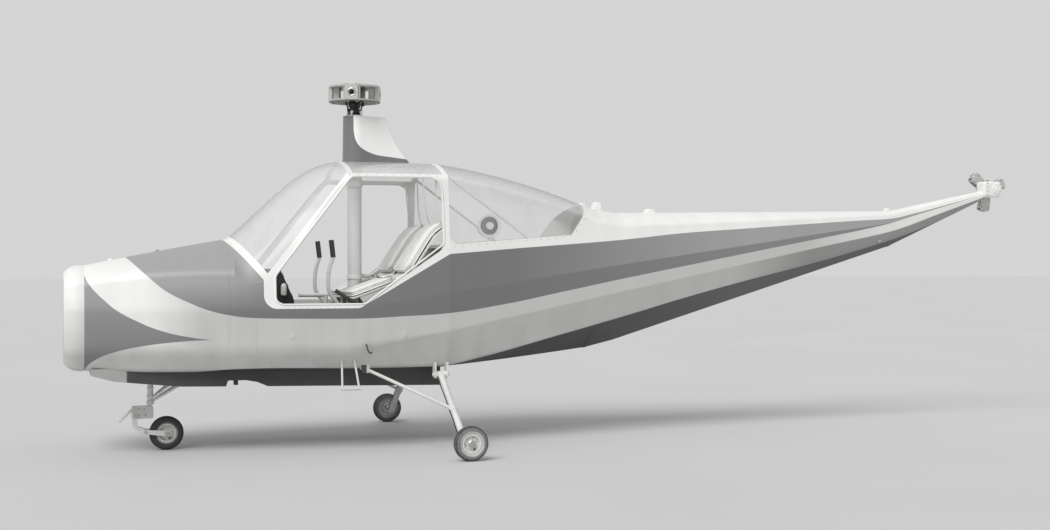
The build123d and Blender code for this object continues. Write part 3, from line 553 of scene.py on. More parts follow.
# %% Pylon paint
PYLON_FRONT = -2.271
PYLON_SWEEP = [(-2.30, 3.0), (-2.270, 2.737), (-2.260, 2.676), (-2.244, 2.636), (-2.217, 2.602),
               (-2.175, 2.573), (-2.124, 2.552), (-2.072, 2.536), (-1.934, 2.521), (-1.780, 2.507),
               (-1.60, 2.49)]
pylon_paint = worn("pylon paint", GREY, 0.34, dust=0.08, Coat_Weight=0.22, Coat_Roughness=0.16)
panel = (pylon_paint.z - pylon_paint.line(PYLON_SWEEP)).step() * (pylon_paint.x - PYLON_FRONT).step()
pylon_paint.surface(Base_Color=pylon_paint.mix(panel, GREY, (0.95, 0.95, 0.93)))
print("pylon painted")

# %% [markdown]
# Some parts wear two colours each. The belly tray is pale ahead of the nose wheel and dull black
# behind it, the sticks and levers are pale tube with black grips, the drag braces and steps change
# along their length, the ring behind the seats is pale round a dark webbed disc with a bright knob,
# and the rotor head is near black inside and underneath, which is painted shade. One small function
# does them all, from a rule that says where the second colour is.

# %% Two-tone parts
RING_X, RING_Z, RING_INSIDE, KNOB_R = -0.998, 1.919, 0.082, 0.0345
MAST_X, HUB_LOW, HUB_HIGH, HUB_TURN, HUB_INSIDE = -2.242, 2.996, 3.137, -18.5, 0.132
TRAY_DARK_X, BRACE_DARK_X, STICK_GRIP_Z, LEVER_GRIP_Y, STEP_FOOT_Z = -4.20, -2.254, 1.628, 0.3, 0.700
PALE, GEAR_PALE, BLACK = (0.84, 0.84, 0.82), (0.76, 0.76, 0.74), (0.02, 0.02, 0.02)


def two_tone(name, rule, one, other, rough=0.4, **fixed):
    """A worn finish that changes from one colour to the other where the rule says so."""
    finish = worn(name, one, rough, **fixed)
    grime = finish.noise(3.0, 4.0) * 0.35
    finish.surface(Base_Color=finish.mix(grime, finish.mix(rule(finish), one, other), (0.16, 0.15, 0.14)))
    return finish


def ring_disc(finish):
    away = reach(finish.x - RING_X, finish.z - RING_Z)
    return (RING_INSIDE - away).step() * (away - KNOB_R).step()


# Painted shade: the rotor head goes near black in its middle, round the mast, and on its underside.
def hub_painted_shade(finish):
    away = reach(finish.x - MAST_X, finish.y)
    return (HUB_INSIDE - away).step().most((HUB_LOW + 0.004 - finish.z).step())


tray_paint = two_tone("belly tray paint", lambda f: (f.x - TRAY_DARK_X).step(0.01), (0.44, 0.44, 0.43), DARK,
                      rough=0.6)
stick_paint = two_tone("stick paint", lambda f: (f.z - STICK_GRIP_Z).step(), PALE, BLACK)
lever_paint = two_tone("lever paint", lambda f: (abs(f.y) - LEVER_GRIP_Y).step(), (0.85, 0.85, 0.83), BLACK)
ring_paint = two_tone("ring paint", ring_disc, (0.95, 0.95, 0.93), (0.05, 0.05, 0.05))
brace_paint = two_tone("drag brace paint", lambda f: (BRACE_DARK_X - f.x).step(), GEAR_PALE, DARK)
step_paint = two_tone("boarding step paint", lambda f: (f.z - STEP_FOOT_Z).step(), GEAR_PALE, PALE_GREY)
# The rotor head's near-black middle and underside are painted shade.
hub_paint = two_tone("rotor head paint", hub_painted_shade, (0.60, 0.60, 0.58), (0.07, 0.07, 0.07), Metallic=0.3)
print("two-tone parts ready")

# %% [markdown]
# Old acrylic is never quite clear. It carries a thin bloom of dust and polish marks that shows as
# a milky sheen, more on surfaces that face the sky. The pane is so thin that it hardly bends light,
# so it is a pale film whose opacity follows streaks that run down the pane and grows at its edges,
# where its colour turns grey as painted shade in place of the dark that refraction gives a pane's edge.


# %% Acrylic
def acrylic(name, bloom):
    """A pale film: milky streaks, more of them where it faces up, and edges turned grey as painted shade."""
    finish = Finish(name, Roughness=0.16)
    streaks = finish.noise(1.0, 4.0, stretch=(7, 7, 2.2))
    smears = finish.noise(3.0, 2.0)
    facing_up = finish.axes(finish.normal)[2].most(0)
    veil = (streaks * 0.3 + smears * 0.2 - 0.18).most(0) * bloom + facing_up * bloom * 0.4 + bloom * 0.10
    rim = finish.node("LayerWeight", {}, 0.5, out=1) ** 4
    # Painted shade: towards its grazing edges the film turns grey, standing in for refraction.
    finish.surface(Alpha=(veil + rim * 0.5).least(0.85), Base_Color=finish.mix(rim * 1.5, 0.86, 0.34))
    return finish


screen_acrylic = acrylic("windscreen acrylic", 0.55)
rear_acrylic = acrylic("rear acrylic", 0.62)
print("acrylic ready")

# %% [markdown]
# Rubber is nearly black on the tread, but the sidewalls have weathered, and next to each rim sits a
# ring that is pale dust with painted sunlight on it. Each tyre gets its own tones, which carry painted
# light and shade: the near main tyre is lit, the far one is in painted shade and the nose tyre in
# painted shadow. The normal tells tread from sidewall: a sidewall faces along the axle.

# %% Rubber
NOSE_AXLE = (-3.857, 0, 0.142)
MAIN_X, MAIN_R, HALF_TRACK = -1.607, 0.140, 1.495


def rubber(name, axle, edge, pale, dull):
    """Black tread, a weathered sidewall and a pale ring of dust next to the rim, toned with painted light
    and shade.
    """
    finish = Finish(name, Specular_IOR_Level=0.3)
    sideways = abs(finish.axes(finish.normal)[1])
    away = reach(finish.x - axle[0], finish.z - axle[2])
    dust, grain = finish.noise(14, 4.0), finish.noise(120, 2.0)
    wall = ((sideways - 0.75) * 6).clip() * (dust * 0.6 + 0.5)
    shade = finish.mix((edge - away + dust * 0.008).step(0.006), dull, (pale, pale, pale * 0.97))
    finish.surface(Base_Color=finish.mix(wall, (0.03, 0.03, 0.031), shade),
                   Roughness=grain * 0.15 + dust * 0.1 + 0.6)
    finish.bump(grain * 0.5 + dust * 0.5, 0.0006)
    return finish


# Painted light and shade per tyre: the near main tyre is lit, the far one in painted shade, the nose tyre in
# painted shadow.
tyre_rubber = {
    "nose_tyre": rubber("nose tyre rubber", NOSE_AXLE, 0.086, 0.34, 0.05),
    "main_tyre_left": rubber("left tyre rubber", (MAIN_X, 0, MAIN_R), 0.096, 0.62, 0.24),
    "main_tyre_right": rubber("right tyre rubber", (MAIN_X, 0, MAIN_R), 0.096, 0.42, 0.14),
}
print("rubber ready")

# %% [markdown]
# ## Dressing the CAD nodes
# Most solids already have the right shape, so they only need their finish. One table says which.

# %% Finishes on the CAD nodes
DRESS = {
    body_paint: "engine_cowl cabin_tub tail_cone tail_boom",
    bowl_paint: "nose_bowl",
    white_paint: "windscreen_base windscreen_strip door_frame_left door_frame_right roof_frame "
                 "rear_coaming tail_gearbox",
    pylon_paint: "mast_fairing",
    screen_acrylic: "windscreen_left windscreen_right skylight_left skylight_right",
    rear_acrylic: "rear_window",
    tray_paint: "belly_tray",
    interior_paint: "firewall cabin_floor",
    deck_paint: "rear_deck",
    cast_alloy: "engine_block",
    black_paint: "intake_grille pedals rotor_shaft",
    black_plastic: "instrument_pedestal",
    stick_paint: "control_sticks",
    lever_paint: "collective_levers",
    ring_paint: "deck_ring",
    mast_paint: "mast_tube",
    tube_paint: "rear_braces seat_shells",
    gear_paint: "main_legs nose_strut nose_fork",
    brace_paint: "drag_braces",
    step_paint: "boarding_steps",
    hub_paint: "rotor_hub",
    head_alloy: "tail_rotor_hub",
    wheel_paint: "nose_wheel main_wheel_left main_wheel_right",
    **{finish: name for name, finish in tyre_rubber.items()},
}
for finish, names in DRESS.items():
    for name in names.split():
        nodes[name].data.materials.clear()
        nodes[name].data.materials.append(finish.material)
print("dressed", sum(len(names.split()) for names in DRESS.values()), "nodes")

# %% [markdown]
# ## Seats
# Two light seats stand side by side with the mast between them, each a bent sheet with a thin pad
# below and one behind. A sewn pad is never a block: the cover is cut flat, piped round its edges,
# and the stuffing pushes the panels out between the seams. So each pad starts flat, as a rounded
# slab with its seams held, cloth simulation blows it up, and only then is it bent along the line
# of its sheet and narrowed towards the head, with its piping.

# %% Seat shape
SEAT_Y = {"left": -0.33, "right": 0.33}
SEAT_WIDTH, HEAD_WIDTH, SHOULDER_Z, HEAD_Z = 0.500, 0.400, 1.560, 1.950
PADS = {  # the line under the pad, seen from the side, and its thickness
    "pan": ([(-2.372, 1.290), (-2.009, 1.4213)], 0.055),
    "back": ([(-1.877, 1.492), (-1.775, 1.652), (-1.660, 1.816), (-1.561, 1.892)], 0.060),
}
CORNER, SHRINK, GRID, BOLSTER = 0.055, 0.004, 0.0098, 0.062
PIPING_LEVEL, RIM_CORD, SEAM_CORD = 0.62, 0.0056, 0.0032


def slab_point(u, v, w, half):
    """Where a point of the unit cube goes on a pad with rounded corners and edges."""
    a, b, c = half
    inner_a, inner_b = a - CORNER, b - CORNER
    plan = Vector((u * a, v * b))
    core = Vector((max(-inner_a, min(inner_a, plan.x)), max(-inner_b, min(inner_b, plan.y))))
    out = plan - core
    if out.length > 1e-9:
        plan = core + out.normalized() * max(abs(out.x), abs(out.y))
    edge = 0.9 * c
    rise = max(0.0, abs(w) * c - (c - edge))
    pull = edge - math.sqrt(max(0.0, edge * edge - rise * rise))
    waist = 0.005 * (1 - v * v) * abs(u) ** 3
    x = plan.x * (1 - pull / a * 0.9) - math.copysign(waist, u)
    return Vector((x, plan.y * (1 - pull / b * 0.9), w * c))


def pad_slab(half):
    """A rounded slab of even quads."""
    shape = bmesh.new()
    counts = [max(2, round(2 * h / GRID)) for h in half]
    found = {}

    def corner(place):
        if place not in found:
            u, v, w = (2 * n / c - 1 for n, c in zip(place, counts))
            found[place] = shape.verts.new(slab_point(u, v, w, half))
        return found[place]

    for axis in range(3):
        one, two = [n for n in range(3) if n != axis]
        for end in (0, counts[axis]):
            for i in range(counts[one]):
                for j in range(counts[two]):
                    square = []
                    for di, dj in ((0, 0), (1, 0), (1, 1), (0, 1)):
                        place = [0, 0, 0]
                        place[axis], place[one], place[two] = end, i + di, j + dj
                        square.append(corner(tuple(place)))
                    shape.faces.new(square)
    bmesh.ops.recalc_face_normals(shape, faces=shape.faces)
    return shape


print("pad slabs ready")

# %% [markdown]
# Cloth pressure does the stuffing. The seams are pinned, the sheet between them is free, and a cap
# on how far any point may move keeps the pad near its real thickness.


# %% Stuffing
def inflate(made, pinned, pressure=4.0, frames=20, cap=0.012):
    """Blows a closed mesh up with cloth pressure; no point moves further than the cap."""
    start = [v.co.copy() for v in made.data.vertices]
    group = made.vertex_groups.new(name="seams")
    group.add([v.index for v in made.data.vertices if pinned(v.co)], 1.0, "REPLACE")
    cloth = made.modifiers.new("stuffing", "CLOTH")
    settings = cloth.settings
    settings.use_pressure, settings.uniform_pressure_force = True, pressure
    settings.vertex_group_mass = "seams"
    settings.tension_stiffness = settings.compression_stiffness = 12
    settings.bending_stiffness = 0.3
    settings.effector_weights.gravity = 0
    cloth.point_cache.frame_start, cloth.point_cache.frame_end = 1, frames
    for number in range(1, frames + 1):
        bpy.context.scene.frame_set(number)
    blown = bpy.data.meshes.new_from_object(made.evaluated_get(bpy.context.evaluated_depsgraph_get()))
    made.modifiers.clear()
    made.vertex_groups.clear()
    for vertex, begin, end in zip(made.data.vertices, start, blown.vertices):
        move = end.co - begin
        vertex.co = begin + move * min(1.0, cap / max(move.length, 1e-9))
    bpy.data.meshes.remove(blown)
    bpy.context.scene.frame_set(1)


print("stuffing ready")

# %% [markdown]
# A blown pad is still flat. Its place comes from the side-view line of the seat's sheet: how far
# along the pad a point lies picks a spot on that line, and its height lifts it off the sheet.


# %% Bending a pad to its seat
def pad_path(kind):
    """The smooth side-view line through the middle of a pad, as (distance, place, way out)."""
    line, thick = PADS[kind]
    line = [Vector((x, 0, z)) for x, z in line]
    runs = [(b - a).normalized() for a, b in zip(line, line[1:])]
    ways = [Vector((-run.z, 0, run.x)) for run in runs]
    ways = [(a + b).normalized() for a, b in zip([ways[0], *ways], [*ways, ways[-1]])]
    spots = smooth_path([place + way * (thick / 2 + 0.0003) for place, way in zip(line, ways)], 10)
    found, gone = [], 0.0
    for k, spot in enumerate(spots):
        gone += (spot - spots[k - 1]).length if k else 0.0
        along = (spots[min(k + 1, len(spots) - 1)] - spots[max(k - 1, 0)]).normalized()
        found.append((gone, spot, Vector((-along.z, 0, along.x))))
    return found


def settle(co, path, y):
    """Takes a point of the flat pad to its place on the seat."""
    along = co.y + path[-1][0] / 2
    k = next((n for n in range(1, len(path) - 1) if path[n][0] > along), len(path) - 1)
    (s0, p0, n0), (s1, p1, n1) = path[k - 1], path[k]
    share = (along - s0) / (s1 - s0)
    place = p0.lerp(p1, share)
    narrow = max(0.0, min(1.0, (place.z - SHOULDER_Z) / (HEAD_Z - SHOULDER_Z)))
    width = 1 - narrow * (1 - HEAD_WIDTH / SEAT_WIDTH)
    return place + n0.lerp(n1, max(0, min(1, share))).normalized() * co.z + Vector((0, y + co.x * width, 0))


print("pads can be bent")

# %% [markdown]
# The pad's mesh is blown up, then pressed in along its two long seams and given the faint wrinkles
# of a used cover.


# %% One flat pad
def pad_mesh(kind, length):
    """One simulated pad, still flat: x across the seat, y along it, z towards the sitter."""
    half = (SEAT_WIDTH / 2 - SHRINK, length / 2 - SHRINK, PADS[kind][1] / 2 - SHRINK)
    shape = pad_slab(half)
    mesh = bpy.data.meshes.new("pad")
    shape.to_mesh(mesh)
    shape.free()
    made = add_object("pad", mesh)
    seam_u = half[0] - BOLSTER

    def sewn(co):
        on_edge = abs(abs(co.z) - half[2] * PIPING_LEVEL) < 0.006 and (
            abs(co.x) > half[0] - 0.03 or abs(co.y) > half[1] - 0.03)
        return on_edge or (co.z > 0 and abs(abs(co.x) - seam_u) < GRID * 0.6) or co.z < -half[2] * 0.9

    inflate(made, sewn)
    for vertex in mesh.vertices:
        co = vertex.co
        if co.z > half[2] * 0.5:
            seam = max(0.0, 1 - abs(abs(co.x) - seam_u) / 0.009)
            fade = max(0.0, min(1.0, (half[1] - 0.016 - abs(co.y)) / 0.03))
            crown = 0
            wrinkle = 0.0010 * math.sin(co.x * 61 + math.sin(co.y * 23) * 2) * math.sin(co.y * 47 + co.x * 9)
            vertex.co.z += crown + wrinkle * fade - 0.007 * seam * fade
    bpy.data.objects.remove(made)
    return mesh, half


print("flat pads ready")

# %% [markdown]
# The covers are a pale grained vinyl with brighter piping. Its grain is two layers of cells, and its
# tone changes in soft random patches.

# %% Seat finishes
vinyl = Finish("pale seat vinyl", Sheen_Weight=0.1)
cells = vinyl.node("TexVoronoi", {"feature": "DISTANCE_TO_EDGE"}, Vector=vinyl.place, Scale=420.0)
creases = vinyl.noise(9, 5.0)
vinyl.surface(Base_Color=vinyl.mix((creases - 0.38) * 1.6, (0.84, 0.83, 0.81), (0.62, 0.61, 0.59)),
              Roughness=creases * 0.2 + 0.38)
vinyl.bump(cells * 0.6 + creases * 1.2, 0.0009)
piping_vinyl = worn("white piping", (0.92, 0.92, 0.90), 0.4, dust=0.04, grain=300)
webbing = Finish("harness webbing", Sheen_Weight=0.3)
weave = webbing.node("TexWave", {"bands_direction": "DIAGONAL"}, Vector=webbing.place, Scale=260.0)
webbing.surface(Base_Color=webbing.mix(weave, (0.74, 0.74, 0.72), (0.88, 0.88, 0.86)), Roughness=0.8)
webbing.bump(weave, 0.0006)
print("seat finishes ready")

# %% [markdown]
# Piping runs round each pad at two levels and along the two seams of its top. The cords find the
# flat pad's surface first, and then bend with it.

# %% Pads with their piping
for kind in PADS:
    path = pad_path(kind)
    mesh, half = pad_mesh(kind, path[-1][0])
    tree = mesh_tree(mesh)
    cords = []
    for level in (PIPING_LEVEL, -PIPING_LEVEL):
        rim = [(math.cos(a), math.sin(a)) for a in (math.tau * k / 120 for k in range(120))]
        rim = [slab_point(u / max(abs(u), abs(v)), v / max(abs(u), abs(v)), level, half) for u, v in rim]
        rim = [tree.find_nearest(spot) for spot in rim]
        cords.append(([near + normal * 0.001 for near, normal, _, _ in rim], RIM_CORD, True))
    for hand in (-1, 1):
        seam = []
        for k in range(25):
            above = Vector((hand * (half[0] - BOLSTER - 0.011), (k / 12 - 1) * (half[1] - 0.014), 1))
            top, normal, _, _ = tree.ray_cast(above, DOWN)
            seam.append(top - normal * 0.001)
        cords.append((seam, SEAM_CORD, False))
    for side, y in SEAT_Y.items():
        pad = add_object(f"{kind}_pad_{side}", mesh.copy())
        for vertex in pad.data.vertices:
            vertex.co = settle(vertex.co, path, y)
        pad.data.flip_normals()
        pad.data.materials.append(vinyl.material)
        pad.data.shade_smooth()
        shape = bmesh.new()
        for spots, radius, closed in cords:
            pipe(shape, [settle(spot, path, y) for spot in spots], radius, 8, closed)
        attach(pad, "root")
        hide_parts(f"seat_{kind}_{side}")
        piece(f"{kind}_piping_{side}", shape, piping_vinyl)
    print(kind, "pad", len(mesh.vertices), "points")

# %% [markdown]
# Each seat has a lap belt that lies across the pan, and a shoulder strap that hangs from the rear
# roof bow to each top corner of its back. Webbing keeps its width and bends only along its length,
# so a ribbon along a smooth path is all it takes. The buckle is a plated box with a lifting cover.

# %% Belts
PAN_TOP, BUCKLE_TILT = 1.470, Vector((0.34, 0, 0.94))
STRAP = [(-1.645, 0.035, 2.338), (-1.640, 0.030, 2.22), (-1.626, 0.012, 2.06), (-1.604, 0, 1.955),
         (-1.588, 0, 1.926), (-1.560, 0, 1.900)]  # x, distance outward from the pad's corner, z
belts, buckles, straps = bmesh.new(), bmesh.new(), bmesh.new()
for side, y in SEAT_Y.items():
    tree = mesh_tree(bpy.data.objects[f"pan_pad_{side}"].data)
    for hand, stop in ((-1, 0.012), (1, 0.028)):
        plan = [(-2.030, 0.238), (-2.045, 0.19), (-2.090, 0.13), (-2.075, 0.07), (-2.105, stop)]
        plan = smooth_path([(x, y + hand * away, 0) for x, away in plan], 6)
        path, normals = [Vector((-2.005, y + hand * 0.259, 1.395))], [Vector((0, hand * 0.8, 0.6))]
        for k, point in enumerate(plan):
            top, normal, _, _ = tree.ray_cast(Vector((point.x, point.y, 1.7)), DOWN)
            if top is None:
                top, normal = Vector((point.x, point.y, PAN_TOP)), UP
            path.append(top + UP * (0.004 + 0.012 * abs(math.sin(k * 0.9 + y * 5 + hand))))
            normals.append(normal)
        ribbon(belts, path, normals, 0.044, 0.0022)
        if hand < 0:
            buckle = path[-1] + UP * 0.001
    lathe(buckles, buckle, BUCKLE_TILT, [(0, 0.040), (0.006, 0.042), (0.011, 0.038), (0.012, 0.020),
                                         (0.014, 0.018), (0.016, 0.014)], 4, inner=0, turn=math.tau / 8)
    lathe(buckles, buckle + BUCKLE_TILT * 0.015, BUCKLE_TILT,
          [(0, 0.016), (0.003, 0.016), (0.0045, 0.013), (0.0045, 0)])
    for hand in (-1, 1):
        hang = smooth_path([(x, y + hand * 0.185 + hand * out, z) for x, out, z in STRAP], 6)
        ribbon(straps, hang, [(-1, 0, 0.1)] * len(hang), 0.040, 0.002)
piece("lap_belts", belts, webbing)
piece("belt_buckles", buckles, bright_steel, sharp=30)
piece("roof_straps", straps, webbing)
print("belts laid")

# %% [markdown]
# ## Tyres
# The CAD tyre is a smooth ring. A real one has a flat crown cut by grooves round it and short
# sipes across the shoulder. One profile is spun, and every third step of the shoulder is pressed
# in to make the sipes.

# %% Tyre tread
TYRES = {  # tyre: axle place, half width, body
    "nose_tyre": (NOSE_AXLE, 0.0428, "nose_wheel"),
    "main_tyre_left": ((MAIN_X, -HALF_TRACK, MAIN_R), 0.0464, "main_wheel_left"),
    "main_tyre_right": ((MAIN_X, HALF_TRACK, MAIN_R), 0.0464, "main_wheel_right"),
}
RIM_R, CROWN_HALF, SIPES, SIPE_DEEP = 0.078, 0.0315, 72, 0.0032
GROOVES, GROOVE_DEEP = (0.0, 0.013, 0.026), 0.0045
for name, (place, half, body) in TYRES.items():
    radius = place[2]
    section = [(0.034, RIM_R - 0.001), (0.0375, RIM_R + 0.004), (0.0395, RIM_R + 0.010),
               (half - 0.0035, RIM_R + 0.020), (half - 0.0005, RIM_R + 0.031),
               (half - 0.0008, radius - 0.026), (half - 0.0025, radius - 0.020),
               (half - 0.0045, radius - 0.0145), (half - 0.008, radius - 0.0085),
               (CROWN_HALF, radius - 0.0052)]
    for groove in reversed(GROOVES):
        drop = radius - 0.0046 * (groove / CROWN_HALF) ** 2 - 0.0002
        section += [(groove + 0.0035, drop), (groove + 0.0018, drop - GROOVE_DEEP)]
        if groove:
            section += [(groove - 0.0018, drop - GROOVE_DEEP), (groove - 0.0035, drop)]
    profile = [(-a, r) for a, r in section] + section[::-1]
    shape = bmesh.new()
    lathe(shape, place, STARBOARD, profile, SIPES * 3)
    for vertex in shape.verts:
        arm = vertex.co - Vector(place)
        across, around = abs(arm.y), Vector((arm.x, 0, arm.z))
        share = (math.atan2(arm.z, arm.x) / math.tau * SIPES) % 1.0
        if 0.030 < across < half - 0.003 and around.length > radius - 0.016 and share < 0.34:
            vertex.co -= around.normalized() * SIPE_DEEP
    tyre = piece(name.replace("tyre", "tread"), shape, tyre_rubber[name], body, sharp=28)
    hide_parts(name)
print("tyres cut")

# %% [markdown]
# ## Sheet laps, rivets and screws
# Sheet metal shows how it was made. Skins meet at laps, and a row of rivets runs along each one.
# A lap is a thin ribbon laid on the skin, painted like it, and a rivet is a low dome turned in
# place, so that both catch the light as they would on the aircraft.

# %% Laps and rivets
body_skin = Skin("nose_bowl", "engine_cowl", "cabin_tub", "windscreen_base", "door_frame_left",
                 "door_frame_right", "rear_coaming", "tail_cone", "tail_boom", "roof_frame")
LAP_WIDTH, LAP_THICK, RIVET = 0.034, 0.0016, 0.0034


def ring(skin, x, z, count=180):
    """Places round a section, found by rays shot inwards at its middle."""
    found = []
    for k in range(count + 1):
        angle = math.radians(360 * k / count)
        way = Vector((0, math.cos(angle), math.sin(angle)))
        spot, normal = skin.at(Vector((x, 0, z)) + way * 2, -way)
        if spot is not None:
            found.append((spot, normal))
    return found


def evenly(found, pitch):
    """Some of the found places, about a pitch apart."""
    kept, gone = [found[0]], 0.0
    for (last, _), (spot, normal) in zip(found, found[1:]):
        gone += (spot - last).length
        if gone >= pitch:
            kept.append((spot, normal))
            gone = 0.0
    return kept


def rivet(shape, spot, normal, size=RIVET):
    lathe(shape, spot, normal, [(-0.001, 0), (-0.001, size), (size * 0.25, size * 0.85), (size * 0.5, 0)], 8)


laps, rivets = bmesh.new(), bmesh.new()
RINGS = [  # station, height of the middle, rivet rows either side
    (-4.512, 1.10, (0.012,)), (-0.060, 1.45, (-0.014, 0.014)),
    (1.600, 1.72, (0.0,)), (3.200, 1.93, (-0.014, 0.014)),
]
for x, z, rows in RINGS:
    lapped = len(rows) > 1
    if lapped:
        ribbon(laps, *zip(*ring(body_skin, x, z)), LAP_WIDTH + 0.02, LAP_THICK)
    for row in rows:
        for spot, normal in evenly(ring(body_skin, x + row, z, 320), 0.042):
            rivet(rivets, spot + normal * (LAP_THICK if lapped else 0), normal)
SIDE_LAPS = [  # side-view line of each lap, as (x, z)
    [(-3.205, 1.08), (-3.205, 0.74)],
    [(-2.270, 1.12), (-2.270, 0.80)],
    [(-1.540, 1.60), (-1.540, 0.72)],
    [(-3.420, 1.72), (-3.420, 0.72)],
]
SIDE_ROWS = [  # side-view lines of rivets along creases and edges, as (x, z)
    [(-0.02, 1.555), (3.16, 2.000)], [(-0.02, 1.505), (3.16, 1.975)], [(-0.02, 1.300), (3.16, 1.912)],
    [(-0.02, 1.930), (3.16, 2.058)], [(-1.50, 1.345), (-0.10, 1.520)], [(-1.50, 1.010), (-0.10, 1.268)],
    [(-3.16, 0.880), (-1.60, 0.880)], [(-3.38, 1.205), (-1.70, 1.205)], [(-4.46, 1.235), (-3.46, 1.205)],
    [(-4.46, 0.875), (-3.46, 0.872)], [(-3.36, 1.180), (-3.36, 1.620)],
]
for side in SIDES:
    for line in SIDE_LAPS:
        band = on_side(body_skin, line, 0.02, side)
        if len(band) > 2:
            ribbon(laps, *zip(*band), LAP_WIDTH, LAP_THICK)
        for shift in (-0.009, 0.009):
            for spot, normal in on_side(body_skin, [(x + shift, z) for x, z in line], 0.036, side):
                rivet(rivets, spot + normal * LAP_THICK, normal, 0.0028)
    for line in SIDE_ROWS:
        for spot, normal in on_side(body_skin, line, 0.055, side):
            rivet(rivets, spot, normal, 0.0030)
piece("sheet_laps", laps, body_paint)
piece("rivets", rivets, body_paint, sharp=60)
print("laps and rivets on")

# %% [markdown]
# Screws hold the glass in its white frames, along the edges of the windscreen, the skylights and
# the rear window. A rubbing bead runs round each doorway, just outside its edge.

# %% Window screws and doorway beads
GLASS_EDGES = [
    [(-3.395, 1.798), (-3.118, 1.462)], [(-3.085, 1.530), (-2.460, 2.318)], [(-2.40, 2.325), (-1.60, 2.325)],
    [(-1.500, 1.722), (-0.40, 1.815), (-0.330, 1.850), (-0.125, 2.105)],
]
DOORWAY = [(-3.038, 1.300), (-3.038, 1.466), (-3.020, 1.500), (-2.415, 2.281), (-2.375, 2.3115),
           (-1.70, 2.3165), (-1.630, 2.280), (-1.6035, 2.20), (-1.598, 1.76), (-1.625, 1.690),
           (-2.240, 1.280), (-2.290, 1.2380), (-2.98, 1.2375), (-3.030, 1.262), (-3.038, 1.300)]
screws, beads = bmesh.new(), bmesh.new()
for side in SIDES:
    for line in GLASS_EDGES:
        for spot, normal in on_side(body_skin, line, 0.075, side):
            bolt(screws, spot - normal * 0.001, normal, 0.0042, 1.4)
    edge = on_side(body_skin, DOORWAY, 0.016, side)
    pipe(beads, [spot + normal * 0.001 for spot, normal in edge], 0.0075, 10, True)
piece("window_screws", screws, steel)
piece("doorway_beads", beads, white_paint, sharp=60)
print("screws and beads on")

# %% [markdown]
# ## Small fittings on the fuselage
# Two low bumps stand on the nose, three covers on the spine and a lug where the slim boom starts.
# Each side has a small cover on the tail, two round plates low on the cabin and a latch hook under
# the doorway, and a drain hangs under the tray. Covers like these are pressed from sheet, so each
# is a box with its top drawn in and its corners cut, and a flange round its foot.

# %% Covers and hooks
COVER_CORNERS = ((-1, -0.7), (-0.8, -1), (0.8, -1), (1, -0.7), (1, 0.7), (0.8, 1), (-0.8, 1), (-1, 0.7))
TOP_COVERS = [  # x, length, width, height
    (-4.315, 0.040, 0.028, 0.014), (-3.933, 0.036, 0.024, 0.012), (0.040, 0.085, 0.150, 0.070),
    (-0.100, 0.060, 0.090, 0.030), (0.585, 0.115, 0.110, 0.034), (3.180, 0.060, 0.050, 0.030),
]
HOOK = [(-0.004, 0, 0), (0.020, 0, 0), (0.024, 0.01, -0.04), (0.016, 0.03, -0.066),
        (0.030, 0.045, -0.052)]  # distance off the skin, then aft and up


def cover(shape, place, normal, along, size, draw=0.72):
    """A pressed cover: a flange, then walls that lean in to a flat top."""
    length, width, height = size
    up, fore = Vector(normal).normalized(), Vector(along).normalized()
    across = up.cross(fore).normalized()
    fore = across.cross(up)
    levels = ((-0.004, 1.0), (0.0025, 1.0), (0.0035, 0.88), (height * 0.85, draw), (height, draw - 0.12))
    join_rings(shape, [[Vector(place) + up * level + fore * (u * share * length / 2)
                        + across * (v * share * width / 2) for u, v in COVER_CORNERS]
                       for level, share in levels])


covers, hooks, drain = bmesh.new(), bmesh.new(), bmesh.new()
for x, *size in TOP_COVERS:
    cover(covers, *body_skin.top(x, 0), (1, 0, 0), size)
for side in SIDES:
    cover(covers, *body_skin.side(3.05, 1.80, side), (1, 0, 0.2), (0.055, 0.035, 0.020))
    for x in (-2.90, -1.95):
        lathe(covers, *body_skin.side(x, 0.98, side),
              [(-0.002, 0.030), (0.0015, 0.030), (0.0025, 0.026)], 28, inner=0)
    spot, normal = body_skin.side(-2.285, 0.895, side)
    bend = [spot + normal * off + Vector((aft, 0, rise)) for off, aft, rise in HOOK]
    pipe(hooks, smooth_path(bend, 6), 0.0055)
cover(drain, (-3.315, -0.31, 0.600), DOWN, (1, 0, 0), (0.040, 0.060, 0.042), 0.9)
piece("skin_covers", covers, body_paint)
piece("latch_hooks", hooks, black_paint)
piece("tray_drain", drain, black_paint)
print("covers on")

# %% [markdown]
# ## The rotor head
# A skilled fitter's work: each blade socket is clamped between the plates by four bolts, the mast
# nut holds the plates, and four pitch links climb from the swash drum to a horn beside each
# socket. Under the drum, a fixed ring with four small cranks sits on top of the fairing.

# %% Rotor head fittings
PLATE_BOLTS = [  # radius, degrees away from the arm, size
    (0.146, 15, 0.0095), (0.146, -15, 0.0095), (0.203, 10.8, 0.0095), (0.203, -10.8, 0.0095),
    (0.204, 18, 0.0080), (0.204, 72, 0.0080),
]
LINK_FOOT_Z = 2.926


def polar(radius, degrees, z, x=MAST_X):
    """A place round the mast."""
    angle = math.radians(degrees)
    return Vector((x + radius * math.cos(angle), radius * math.sin(angle), z))


